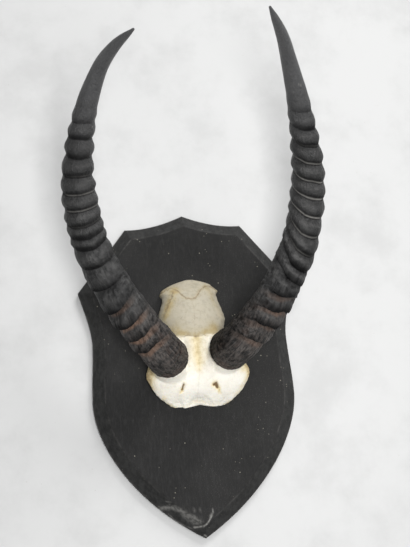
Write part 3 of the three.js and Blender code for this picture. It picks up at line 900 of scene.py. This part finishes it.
def skull_section(y, turn):
    """The vault's points along rays from the middle of its seat, at each turn and for sections at each y: the
    superellipse 1 / (|cos / half width|^f + |sin / rise|^f)^(1/f), or the horns' stumps where they reach out
    further, with the two blended by a blur."""
    left, right = (table_curve(SKULL_EDGES, column, y, 0.9) for column in (1, 2))
    rise = (table_curve(SKULL_TOPS, 1, y, 3.5) - SEAT)[:, None]
    f = table_curve(SKULL_TOPS, 2, y, 4)[:, None]
    half = ((right - left) / 2)[:, None]
    vault = (np.abs(np.cos(turn) / half) ** f + np.abs(np.sin(turn) / rise) ** f) ** (-1 / f)
    origin = np.stack([(left + right) / 2, y, np.full_like(y, SEAT)], axis=-1)[:, None]
    ray = np.stack([-np.cos(turn), np.zeros_like(turn), np.sin(turn)], axis=-1)[None]
    reach = np.maximum(vault, np.maximum(*(pedicle_reach(origin, ray, horn) for horn in SIDES)))
    step = y[1] - y[0]
    softened = blurred(blurred(reach, 1.3 / step, 0), 2.2, 1)
    near_stump = smooth(0, 3, blurred(reach - vault, 4.0 / step, 0))
    return origin + ray * (vault + (softened - vault) * near_stump)[..., None]


def head_noise(rng, x, y, cells):
    """Smooth noise over the head, with so many cells in 200 mm."""
    return lattice_noise(rng, x / 200 + 0.5, y / 200 + 0.3, cells, cells)


def skull_relief(sizes, rng, x, y):
    """How far the bone stands above the plain vault at each point, in millimetres: twin ridges beside the
    midline, sutures, temporal lines, the nuchal rim and the two brow openings with their tails."""
    wx = x + head_noise(rng, x, y, 90) * 0.9
    wy = y + head_noise(rng, x, y, 90) * 0.9
    width = sizes.suture_width / MM
    sutures = (
        near_line(wx, wy, LAMBDOID_SUTURE, width)
        + 0.8 * near_line(wx, wy, CORONAL_SUTURE, width)
        + 0.2 * near_line(wx, wy, SAGITTAL_SUTURE, width)
        + 0.15 * near_line(x, y, FRONTAL_SUTURE, 0.8) * smooth(34, 30, y)
    )
    ridges = 1.5 * (bell(x + 8.6, 4.6) + bell(x - 9.2, 4.6)) * smooth(-6, 4, y) * smooth(34, 29, y)
    groove = 0.9 * bell(x - MIDLINE, 3.2) * smooth(-4, 10, y) * smooth(35, 30, y)
    temporal = near_line(x, y, TEMPORAL_LEFT, 2.6) + near_line(x, y, TEMPORAL_RIGHT, 2.6)
    cut = near_line(wx + 1.6, wy, TEMPORAL_LEFT, 0.9)
    holes = near_line(wx, wy, FORAMEN_LEFT, 1.6) + near_line(x, y, FORAMEN_RIGHT, 1.6)
    holes += 0.6 * bell(np.hypot(x - FORAMEN_RIGHT[1][0], y - FORAMEN_RIGHT[1][1] + 2.4), 2.0)
    tail = sum(near_line(wx, wy, route, 1.7) for route in FORAMEN_TAILS)
    raised = ridges + 0.8 * temporal + 1.1 * near_line(x, y, NUCHAL_RIM, 2.4)
    raised += head_noise(rng, x, y, 14) * 0.55 + head_noise(rng, x, y, 60) * 0.12
    sunk = groove + 0.7 * cut + sizes.suture_depth / MM * sutures
    sunk += 3.6 * np.clip(holes, 0, 1) ** 1.5 + 1.2 * tail
    return raised - sunk, sutures, holes, tail, cut


def bone_stain(x, y, body, edge, brow_rim, tail):
    """How strongly the bone is stained: a little all over, and more along lines, at round spots, down the
    midline, beside the coronal seam and at the rims."""
    behind_brow = smooth(40, 30, y)
    stain = 0.12 + 0.4 * edge * body + 0.6 * brow_rim + 0.4 * tail + 0.08 * smooth(82, 96, y)
    stain += 0.3 * bell(x - MIDLINE, 3.8) * smooth(-22, 4, y) * behind_brow
    stain += 0.34 * bell(x - MIDLINE, 12) * smooth(-16, 8, y) * behind_brow
    stain += 0.3 * bell(y - 38, 6) * bell(x, 26)
    stain += 0.35 * bell(y - 37, 4) * (bell(x + 14, 7) + bell(x - 13, 7))
    for line, strength, width in LINE_STAINS:
        stain += strength * near_line(x, y, line, width)
    for spot_x, spot_y, strength, width in ROUND_STAINS:
        stain += strength * bell(np.hypot(x - spot_x, y - spot_y), width)
    return stain


def build_skull_cap(sizes, finish):
    """The skull cap: sections across the head, each a vault over a flat seat. Its front edge is drawn in to a
    ragged line, and its sides tuck under, so that the sawn rim stands proud of the seat."""
    rng = np.random.default_rng(SEEDS["skull_cap"])
    y = np.linspace(SKULL_EDGES[0][0], SKULL_EDGES[-1][0], SKULL_STEPS["along"])
    turn = np.linspace(0, math.pi, SKULL_STEPS["over"])
    x, depth, z = np.moveaxis(skull_section(y, turn), -1, 0)
    relief, sutures, holes, tail, cut = skull_relief(sizes, rng, x, depth)
    middle = ((x[:, 0] + x[:, -1]) / 2)[:, None]
    z = z + relief * np.sin(turn) ** 0.6
    tuck = (0.04 + 0.08 * smooth(14, -4, depth)) * smooth(SEAT + 13, SEAT, z)
    ragged = lattice_noise(rng, turn[None] / math.tau, (depth - y[0]) / (y[-1] - y[0]), 24, 72) * 0.02
    x = middle + (x - middle) * (1 - tuck + ragged * smooth(SEAT + 16, SEAT + 4, z))

    arc = np.stack([x, depth, np.maximum(z, SEAT)], axis=-1)
    share = np.linspace(0, 1, SKULL_STEPS["under"])[None, 1:-1, None]
    floor = arc[:, -1:] * (1 - share) + arc[:, :1] * share
    sections = np.concatenate([arc, floor], axis=1)
    across = sections[..., 0]
    held = np.clip(across, FRONT_EDGE[0][0], FRONT_EDGE[-1][0])
    broken = table_curve(FRONT_EDGE, 1, held.ravel(), 0.6).reshape(across.shape)
    chips = lattice_noise(rng, across / 200 + 0.5, sections[..., 2] / 200, 64, 70) * 0.75
    sections[..., 1] += (broken - y[0] + chips) * smooth(-28, y[0], sections[..., 1])

    body = smooth(30.5, 36, depth + 0.8 * np.cos(x / 6))
    sideways = np.abs(x - middle) / np.max(np.abs(x - middle), axis=1, keepdims=True)
    brow_rim = np.maximum(smooth(0.78, 0.99, sideways), 0.4 * smooth(-40, -47, depth)) * (1 - body)
    brow_rim *= 0.65 + 0.5 * head_noise(rng, x, depth, 36)
    upper = {
        "cream": np.maximum(body, 0.38 * smooth(-18, 4, depth)),
        "stain": bone_stain(x, depth, body, smooth(0.30, 0.06, np.sin(turn)), brow_rim, tail),
        "suture": sutures * 0.7 + cut * 0.5,
        "pit": np.clip(holes, 0, 1) ** 2 * 1.1,
    }
    fields = shares({field: np.pad(grid, ((0, 0), (0, floor.shape[1]))) for field, grid in upper.items()})

    shell = Shell()
    loops = shell.tube(sections * MM)
    for end in (0, -1):
        shell.fan(loops[end], sections[end].mean(axis=0) * MM)
    settle(shell.piece("skull_cap_bone", fields), finish, "skull_cap")


# ---- Shield ----


def bezier(start, pull_a, pull_b, end):
    """A cubic curve: start (1-t)³ + 3 pull_a (1-t)² t + 3 pull_b (1-t) t² + end t³."""
    t = np.linspace(0, 1, 400)[:, None]
    a, b, c, d = (np.array(p, float) for p in (start, pull_a, pull_b, end))
    return a * (1 - t) ** 3 + 3 * b * (1 - t) ** 2 * t + 3 * c * (1 - t) * t**2 + d * t**3


def toward(start, end, share):
    return tuple(a + (b - a) * share for a, b in zip(start, end))


class Run:
    """A stretch of the shield's outline between two corners, with the places where its points lie."""

    def __init__(self, pieces, shares):
        line = np.vstack([pieces[0]] + [piece[1:] for piece in pieces[1:]])
        steps = np.linalg.norm(np.diff(line, axis=0), axis=1)
        self.line = line
        self.along = np.concatenate([[0], np.cumsum(steps)])
        slope = unit(np.gradient(line, self.along, axis=0))
        self.inward = np.stack([-slope[:, 1], slope[:, 0]], axis=-1)
        self.ends = (slope[0], slope[-1])
        self.shares = shares
        self.trims = [0.0, 0.0]

    def mirrored(self):
        """The same stretch on the other side of the shield, run the other way."""
        return Run([self.line[::-1] * (-1, 1)], 1 - self.shares[::-1])

    def inset(self, depth):
        """Its points moved inwards by a depth, after trimming each end by depth times the cotangent of half
        the corner's angle, which is where the neighbouring stretches meet."""
        start, end = (trim * depth for trim in self.trims)
        where = start + self.shares * (self.along[-1] - start - end)
        inward = interpolated(where, self.along, self.inward)
        return interpolated(where, self.along, self.line) + depth * inward


def shield_runs():
    """The outline's stretches, counter-clockwise from the tip: flank, cut corner and scallop, twice."""
    flank = [
        bezier(TIP, TIP_PULL, BELLY_PULLS[1], BELLY),
        bezier(BELLY, BELLY_PULLS[0], WAIST_PULLS[1], WAIST),
        bezier(WAIST, WAIST_PULLS[0], CORNER_PULL, CORNER),
    ]
    cut = [bezier(CORNER, toward(CORNER, SHOULDER, 1 / 3), toward(CORNER, SHOULDER, 2 / 3), SHOULDER)]
    scallop_pulls = [toward(SCALLOP_PULL, end, 1 / 3) for end in (SHOULDER, APEX)]
    scallop = [bezier(SHOULDER, *scallop_pulls, APEX)]
    right = [
        Run(flank, np.linspace(0, 1, 301) ** 1.2),
        Run(cut, np.linspace(0, 1, 41)),
        Run(scallop, np.linspace(0, 1, 41)),
    ]
    runs = right + [run.mirrored() for run in reversed(right)]
    for run, following in zip(runs, runs[1:] + runs[:1]):
        turn = math.acos(np.clip(np.dot(run.ends[1], following.ends[0]), -1, 1))
        run.trims[1] = following.trims[0] = math.tan(turn / 2)
    return runs


def inset_ring(runs, depth):
    """The whole outline moved inwards. Where two stretches meet, both bend a little to their middle point,
    by a shift that fades as exp(-distance / CORNER_FADE)."""
    lines = [run.inset(depth) for run in runs]
    starts = [(line[0] + before[-1]) / 2 for line, before in zip(lines, lines[-1:] + lines[:-1])]
    bent = []
    for line, start, end in zip(lines, starts, starts[1:] + starts[:1]):
        for corner, place in ((line[0], start), (line[-1], end)):
            away = np.linalg.norm(line - corner, axis=1)[:, None]
            line = line + (place - corner) * np.exp(-away / CORNER_FADE)
        bent.append(line)
    return np.concatenate([line[:-1] for line in bent])


def shield_profile(sizes):
    """Depth from the outline and height of each ring round the board, from the face down to the back:
    the two arrises of the chamfer and the back's edge are rounded by quadratic curves."""
    width, drop, top = sizes.chamfer_width / MM, sizes.chamfer_drop / MM, SHIELD_TOP
    low = top - drop
    face, upper, lower, back = ARRISES.values()
    t = np.linspace(0, 1, 6)[:, None]

    def rounded(a, corner, b):
        return np.array(a) * (1 - t) ** 2 + 2 * np.array(corner) * t * (1 - t) + np.array(b) * t**2

    def on_chamfer(depth):
        return (depth, low + drop * depth / width)

    slope = np.linspace(on_chamfer(width - upper), on_chamfer(lower), 26)
    wall = np.linspace((0, low - lower), (0, back), 6)
    return np.vstack([
        [(width + inwards, top) for inwards in (3.0, 2.0, 1.4)],
        rounded((width + face, top), (width, top), on_chamfer(width - upper))[:-1],
        slope[:-1],
        rounded(on_chamfer(lower), (0, low), (0, low - lower))[:-1],
        wall[:-1],
        rounded((0, back), (0, 0), (back, 0)),
    ])


def circle(x, y, radius, z, sides=48):
    """Points of a circle: centre + radius (cos a, sin a)."""
    a = np.linspace(0, math.tau, sides, endpoint=False)
    return np.stack([x + radius * np.cos(a), y + radius * np.sin(a), np.full(sides, z)], axis=-1)


def disc_reach(y, radius, turn):
    """Distance from the hanger's middle along each turn to a circle about (0, y), which holds that middle:
    d sin t + sqrt(radius² - d² cos² t), with d the circle's height over the middle."""
    rise = y - HANGER["y"]
    return rise * np.sin(turn) + np.sqrt(radius**2 - (rise * np.cos(turn)) ** 2)


def bar_reach(turn):
    """Distance from the hanger's middle along each turn to its recess, a bar with quarter-circle corners:
    the nearer of its end and its long side, or where the ray meets the corner's circle."""
    across = HANGER["width"] / 2 + HANGER["gap"]
    up = HANGER["height"] / 2 + HANGER["gap"]
    radius = HANGER["corner"] + HANGER["gap"]
    c, s = np.abs(np.cos(turn)), np.abs(np.sin(turn))
    straight = np.minimum(across / np.maximum(c, 1e-9), up / np.maximum(s, 1e-9))
    x, y = across - radius, up - radius
    shadow = x * c + y * s
    round_corner = shadow + np.sqrt(np.clip(radius**2 - x**2 - y**2 + shadow**2, 0, None))
    return np.where((straight * c > x) & (straight * s > y), round_corner, straight)


def cut_back(shell, rim):
    """The shield's flat back inside its last ring, with the screw holes, the hanger's recess and the nail's
    pocket sunk into it. The pocket is two round holes that meet and run past the recess's side."""
    mouths = []
    ys, mouth, edge, bore, cone, end = SKULL_SCREW_HOLES.values()
    for y in ys:
        steps = ((mouth, 0), (mouth, edge), (bore, cone), (bore, end))
        loops = shell.tube(np.stack([circle(0, y, radius, z) for radius, z in steps]) * MM)
        shell.fan(loops[-1], np.array([0, y, end]) * MM)
        mouths.append(loops[0])

    turn = np.linspace(0, math.tau, 220, endpoint=False)
    pocket = np.maximum(*(disc_reach(y, NAIL_POCKET["radius"], turn) for y in NAIL_POCKET["ys"]))
    recess = np.maximum(bar_reach(turn), pocket + 0.05)

    def wall(reach, *heights):
        x, y = reach * np.cos(turn), HANGER["y"] + reach * np.sin(turn)
        return shell.tube(np.stack([np.stack([x, y, np.full_like(turn, z)], axis=-1) for z in heights]) * MM)

    recess_wall = wall(recess, 0, HANGER["depth"])
    shell.sheet(rim, [*mouths, recess_wall[0]])
    pocket_wall = wall(pocket, HANGER["depth"], NAIL_POCKET["depth"])
    shell.fan(pocket_wall[1], np.array([0, HANGER["y"], NAIL_POCKET["depth"]]) * MM)
    bores = []
    across, bore, end = HANGER_SCREW_HOLES.values()
    for x in (-across, across):
        rings = [circle(x, HANGER["y"], bore, z, 24) for z in (HANGER["depth"], end)]
        loops = shell.tube(np.stack(rings) * MM)
        shell.fan(loops[1], np.array([x, HANGER["y"], end]) * MM)
        bores.append(loops[0])
    shell.sheet(recess_wall[1], [pocket_wall[0], *bores])


def build_shield(sizes, finish):
    """The shield: rings of its outline at each step of its edge profile, a face of shrinking rings inside
    them, and a flat back with its cut-outs. Arrises waver a little, and scrapes at the tip are sunk in."""
    rng = np.random.default_rng(SEEDS["shield"])
    runs = shield_runs()
    profile = shield_profile(sizes)
    rings = np.stack([inset_ring(runs, depth) for depth, _ in profile])
    shrink = np.linspace(0, 1, 35)[1:-1, None, None] ** 0.8
    face = rings[0] * shrink
    flat = np.concatenate([face, rings])
    height = np.concatenate([np.full(len(face), SHIELD_TOP), profile[:, 1]])
    far_inside = 99.0
    depth = np.concatenate([np.full(len(face), far_inside), profile[:, 0]])
    x, y = flat[..., 0], flat[..., 1]
    z = np.broadcast_to(height[:, None], x.shape).copy()
    inset = np.broadcast_to(depth[:, None], x.shape)

    around = np.broadcast_to(np.linspace(0, 1, x.shape[1], endpoint=False)[None], x.shape)
    waver = lattice_noise(rng, around, np.full_like(x, 0.5), 300, 4)
    chamfer_width = sizes.chamfer_width / MM
    chamfer_foot = SHIELD_TOP - sizes.chamfer_drop / MM
    front = z > chamfer_foot - 2
    upper_arris = bell(inset - chamfer_width, 0.9)
    lower_arris = bell(z - chamfer_foot, 0.9) * (inset < 2)
    z -= (upper_arris * (0.12 + 0.1 * waver)) * front
    warp = lattice_noise(rng, x / 400 + 0.5, y / 400 + 0.5, 9, 9) * 0.12
    z += warp * smooth(chamfer_width + 2, chamfer_width + 12, inset)
    scrape = np.zeros_like(x)
    for route, half_width, pale, sunk in SCRAPES:
        ragged = half_width * (1 + 0.35 * lattice_noise(rng, x / 60 + 0.5, y / 400 + 0.5, 30, 200))
        mark = near_line(x, y, route, ragged) * front
        scrape = np.maximum(scrape, mark * pale)
        z -= mark * sunk
    waver_wide = 0.5 + 0.5 * lattice_noise(rng, around, np.full_like(x, 0.5), 90, 4)
    # Paint worn thin along both arrises, and also a painted highlight on them.
    wear = upper_arris * (0.05 + 0.4 * waver_wide**2) + lower_arris * (0.2 + 0.6 * waver_wide)
    chamfer = smooth(chamfer_width + 0.4, chamfer_width - 0.4, inset) * (z > 7)

    shell = Shell()
    loops = shell.tube(np.stack([x, y, z], axis=-1) * MM)
    shell.fan(loops[0], np.array([0, 0, SHIELD_TOP]) * MM)
    cut_back(shell, loops[-1])
    fields = shares({"wear": wear, "scrape": scrape, "chamfer": chamfer})
    settle(shell.piece("shield_board", fields), finish, "shield")


# ---- Settings ----


def setting(name, description, default, **limits):
    """A number that can be changed in the panel."""
    return FloatProperty(name=name, description=description, default=default, **limits)


def length_setting(name, description, default):
    return setting(name, description, default, min=0.0, unit="LENGTH", precision=5)


def vector_setting(name, description, default, subtype, **limits):
    """Three numbers that can be changed in the panel."""
    texts = {"name": name, "description": description}
    return FloatVectorProperty(default=default, subtype=subtype, **texts, **limits)


def colour_setting(name, description, default):
    return vector_setting(name, description, default, "COLOR", min=0.0, max=1.0)


class HornSizes(bpy.types.PropertyGroup):
    ring_relief: length_setting("Ring relief", "Height of the growth rings over their grooves", 0.0023)
    lip_relief: length_setting("Lip relief", "Further height of the lower rings at the keel", 0.0045)
    overhang: length_setting("Overhang", "How far a ring's lower rim hangs over its groove", 0.0036)


class SkullSizes(bpy.types.PropertyGroup):
    suture_width: length_setting("Suture width", "Half width of the seams between bones", 0.0008)
    suture_depth: length_setting("Suture depth", "Depth of the seams between bones", 0.0006)


class ShieldSizes(bpy.types.PropertyGroup):
    chamfer_width: length_setting("Chamfer width", "Width of the sloping edge, seen from the front", 0.015)
    chamfer_drop: length_setting("Chamfer drop", "Height of the sloping edge", 0.012)


class Colours(bpy.types.PropertyGroup):
    # Also the colour of the painted shade in the grooves, the hollows and on the inner side.
    deep: colour_setting("Deep horn", "Darkest horn", (0.006, 0.006, 0.0062))
    charcoal: colour_setting("Charcoal", "Usual colour of the horn", (0.0133, 0.0131, 0.0128))
    grey: colour_setting("Grey horn", "Growth lines and fibres", (0.030, 0.029, 0.028))
    # Painted highlight on the backs of the rings.
    crest: colour_setting("Crest", "Rubbed backs of the rings", (0.058, 0.057, 0.0555))
    tip: colour_setting("Tip", "Smooth tips", (0.102, 0.102, 0.104))
    base: colour_setting("Base", "Pitted horn beside the bone", (0.108, 0.093, 0.084))
    russet: colour_setting("Russet", "Reddish patches in the pitted horn", (0.085, 0.052, 0.040))
    fibre: colour_setting("Fibre", "Pale fibres in the pitted horn", (0.19, 0.165, 0.15))
    tan: colour_setting("Tan", "Layers laid bare under the lower rings", (0.19, 0.112, 0.075))
    # Painted shade under the rims of the rings.
    under: colour_setting("Under", "Under the rims of the rings", (0.004, 0.0035, 0.0035))
    rim: colour_setting("Rim", "Worn rims of the middle rings", (0.26, 0.252, 0.236))
    chalk: colour_setting("Chalk", "Bleached frontal bone", (0.985, 0.95, 0.86))
    cream: colour_setting("Cream", "Braincase", (0.455, 0.415, 0.325))
    shade: colour_setting("Shade", "Clouds in the bone", (0.42, 0.39, 0.325))
    mottle: colour_setting("Mottle", "Fine blotches in the braincase", (0.33, 0.30, 0.24))
    honey: colour_setting("Honey", "Tint of the light stains on the bone", (0.93, 0.83, 0.58))
    ochre: colour_setting("Ochre", "Strong stains on the bone", (0.40, 0.29, 0.14))
    suture: colour_setting("Suture", "Seams between bones", (0.215, 0.165, 0.105))
    pit: colour_setting("Pit", "Inside the brow openings", (0.19, 0.125, 0.06))
    black: colour_setting("Black", "Paint in the deep of the face", (0.0056, 0.0055, 0.0053))
    faded: colour_setting("Faded", "Paint rubbed by dusting", (0.0138, 0.0134, 0.0129))
    rubbed: colour_setting("Rubbed", "Paint on the chamfer", (0.0305, 0.0305, 0.0295))
    # Also the colour of the painted highlight along the arrises.
    edge: colour_setting("Edge", "Paint worn thin on the arrises", (0.11, 0.105, 0.10))
    primer: colour_setting("Primer", "Grey under the scraped paint", (0.36, 0.35, 0.33))
    dust: colour_setting("Dust", "Pale specks", (0.45, 0.42, 0.34))
    zinc: colour_setting("Zinc", "Zinc plate", (0.56, 0.56, 0.55))
    zinc_dark: colour_setting("Dark zinc", "Dull patches of zinc plate", (0.36, 0.36, 0.35))
    table: colour_setting("Table", "The table under the shield", (0.610, 0.610, 0.605))
    table_rub: colour_setting("Table rubs", "Faint grey marks on the table", (0.535, 0.535, 0.53))
    table_mark: colour_setting("Table marks", "Smudges and specks on the table", (0.42, 0.41, 0.38))


class StageSetup(bpy.types.PropertyGroup):
    table_size: length_setting("Table", "Side of the square table top", 6.0)
    window_power: setting("Window", "Power of the wide light from the upper right", 34.5, unit="POWER")
    lamp_power: setting("Lamp", "Power of the light from the right", 1.6, unit="POWER")
    flash_power: setting("Flash", "Power of the light beside the camera", 7.4, unit="POWER")
    sky: setting("Sky", "Brightness of the room's even light", 0.33, min=0.0)
    lens: setting("Lens", "Camera lens, in millimetres", 52.65, min=1.0)
    eye: vector_setting("Eye", "The camera's place", (-0.1158, -0.1115, 0.9702), "TRANSLATION", unit="LENGTH")
    look_right: vector_setting("Right", "The camera's right", (0.989, -0.0794, 0.1246), "DIRECTION")
    look_back: vector_setting("Back", "Away from the view", (-0.1399, -0.2309, 0.9629), "DIRECTION")


# ---- Operators ----


class TROPHY_OT_shield(bpy.types.Operator):
    """Build the black wooden shield"""

    bl_idname = "trophy.shield"
    bl_label = "Shield"

    def execute(self, context):
        build_shield(context.scene.trophy_shield, paint_finish(context.scene.trophy_colours))
        return {"FINISHED"}


class TROPHY_OT_skull_cap(bpy.types.Operator):
    """Build the bleached skull cap"""

    bl_idname = "trophy.skull_cap"
    bl_label = "Skull Cap"

    def execute(self, context):
        build_skull_cap(context.scene.trophy_skull, bone_finish(context.scene.trophy_colours))
        return {"FINISHED"}


class TROPHY_OT_horns(bpy.types.Operator):
    """Build both horns"""

    bl_idname = "trophy.horns"
    bl_label = "Horns"

    def execute(self, context):
        finish = horn_finish(context.scene.trophy_colours)
        sizes = context.scene.trophy_horns
        for name in HORN_LINES:
            build_horn(name, sizes, finish)
        return {"FINISHED"}


class TROPHY_OT_fixings(bpy.types.Operator):
    """Give the hanger plate and the screws on the back their zinc finish"""

    bl_idname = "trophy.fixings"
    bl_label = "Fixings"

    def execute(self, context):
        finish = zinc_finish(context.scene.trophy_colours)
        for node in FIXINGS:
            fixing = frame["nodes"][node]
            fixing.data.materials.clear()
            fixing.data.materials.append(finish)
        return {"FINISHED"}


class TROPHY_OT_stage(bpy.types.Operator):
    """Set up the table, the lights and the camera"""

    bl_idname = "trophy.stage"
    bl_label = "Stage"

    def execute(self, context):
        scene = context.scene
        stage = scene.trophy_stage
        self.table(scene, stage.table_size / 2)
        scene.world = bpy.data.worlds.new("room")
        scene.world.use_nodes = True
        sky = scene.world.node_tree.nodes["Background"].inputs
        sky["Color"].default_value = SKY_COLOUR
        sky["Strength"].default_value = stage.sky
        scene.view_settings.view_transform = "Standard"
        for name, (place, size) in LAMPS.items():
            self.lamp(scene, name, Vector(place), size, getattr(stage, name + "_power"))
        self.camera(scene, stage)
        return {"FINISHED"}

    def table(self, scene, half):
        mesh = bpy.data.meshes.new("table")
        corners = ((-half, -half), (half, -half), (half, half), (-half, half))
        mesh.from_pydata([(x, y, TABLE_HEIGHT) for x, y in corners], [], [(0, 1, 2, 3)])
        mesh.materials.append(table_finish(scene.trophy_colours))
        table = bpy.data.objects.new("table", mesh)
        scene.collection.objects.link(table)

    def lamp(self, scene, name, place, size, power):
        """A square lamp that looks at the origin."""
        light = bpy.data.lights.new(name, "AREA")
        light.size = size
        light.energy = power
        lamp = bpy.data.objects.new(name, light)
        lamp.matrix_world = Matrix.Translation(place) @ (-place).to_track_quat("-Z", "Y").to_matrix().to_4x4()
        scene.collection.objects.link(lamp)

    def camera(self, scene, stage):
        """The camera, with its right-hand side made square to the way it looks."""
        camera = bpy.data.objects.new("camera", bpy.data.cameras.new("camera"))
        camera.data.lens = stage.lens
        camera.data.sensor_width = SENSOR_WIDTH
        back = Vector(stage.look_back).normalized()
        right = Vector(stage.look_right)
        right = (right - back * right.dot(back)).normalized()
        turn = Matrix((right, back.cross(right), back)).transposed()
        camera.matrix_world = Matrix.Translation(stage.eye) @ turn.to_4x4()
        scene.collection.objects.link(camera)
        scene.camera = camera


# ---- Add-on ----


class TROPHY_PT_panel(bpy.types.Panel):
    bl_idname = "TROPHY_PT_panel"
    bl_label = "Horn Trophy"
    bl_space_type = "VIEW_3D"
    bl_region_type = "UI"
    bl_category = "Trophy"

    def draw(self, context):
        for operator in OPERATORS:
            self.layout.operator(operator.bl_idname)
        for group in SETTINGS:
            box = self.layout.box()
            settings = getattr(context.scene, group)
            for prop in settings.bl_rna.properties:
                if prop.identifier not in ("rna_type", "name"):
                    box.prop(settings, prop.identifier)


SETTINGS = {
    "trophy_horns": HornSizes,
    "trophy_skull": SkullSizes,
    "trophy_shield": ShieldSizes,
    "trophy_colours": Colours,
    "trophy_stage": StageSetup,
}
OPERATORS = (TROPHY_OT_shield, TROPHY_OT_skull_cap, TROPHY_OT_horns, TROPHY_OT_fixings, TROPHY_OT_stage)


def register():
    for cls in (*SETTINGS.values(), *OPERATORS, TROPHY_PT_panel):
        bpy.utils.register_class(cls)
    for name, cls in SETTINGS.items():
        setattr(bpy.types.Scene, name, PointerProperty(type=cls))


def unregister():
    for name in SETTINGS:
        delattr(bpy.types.Scene, name)
    for cls in (TROPHY_PT_panel, *reversed(OPERATORS), *reversed(SETTINGS.values())):
        bpy.utils.unregister_class(cls)


def main():
    register()
    bpy.ops.trophy.shield()
    bpy.ops.trophy.skull_cap()
    bpy.ops.trophy.horns()
    bpy.ops.trophy.fixings()
    bpy.ops.trophy.stage()


if __name__ == "__main__":
    main()
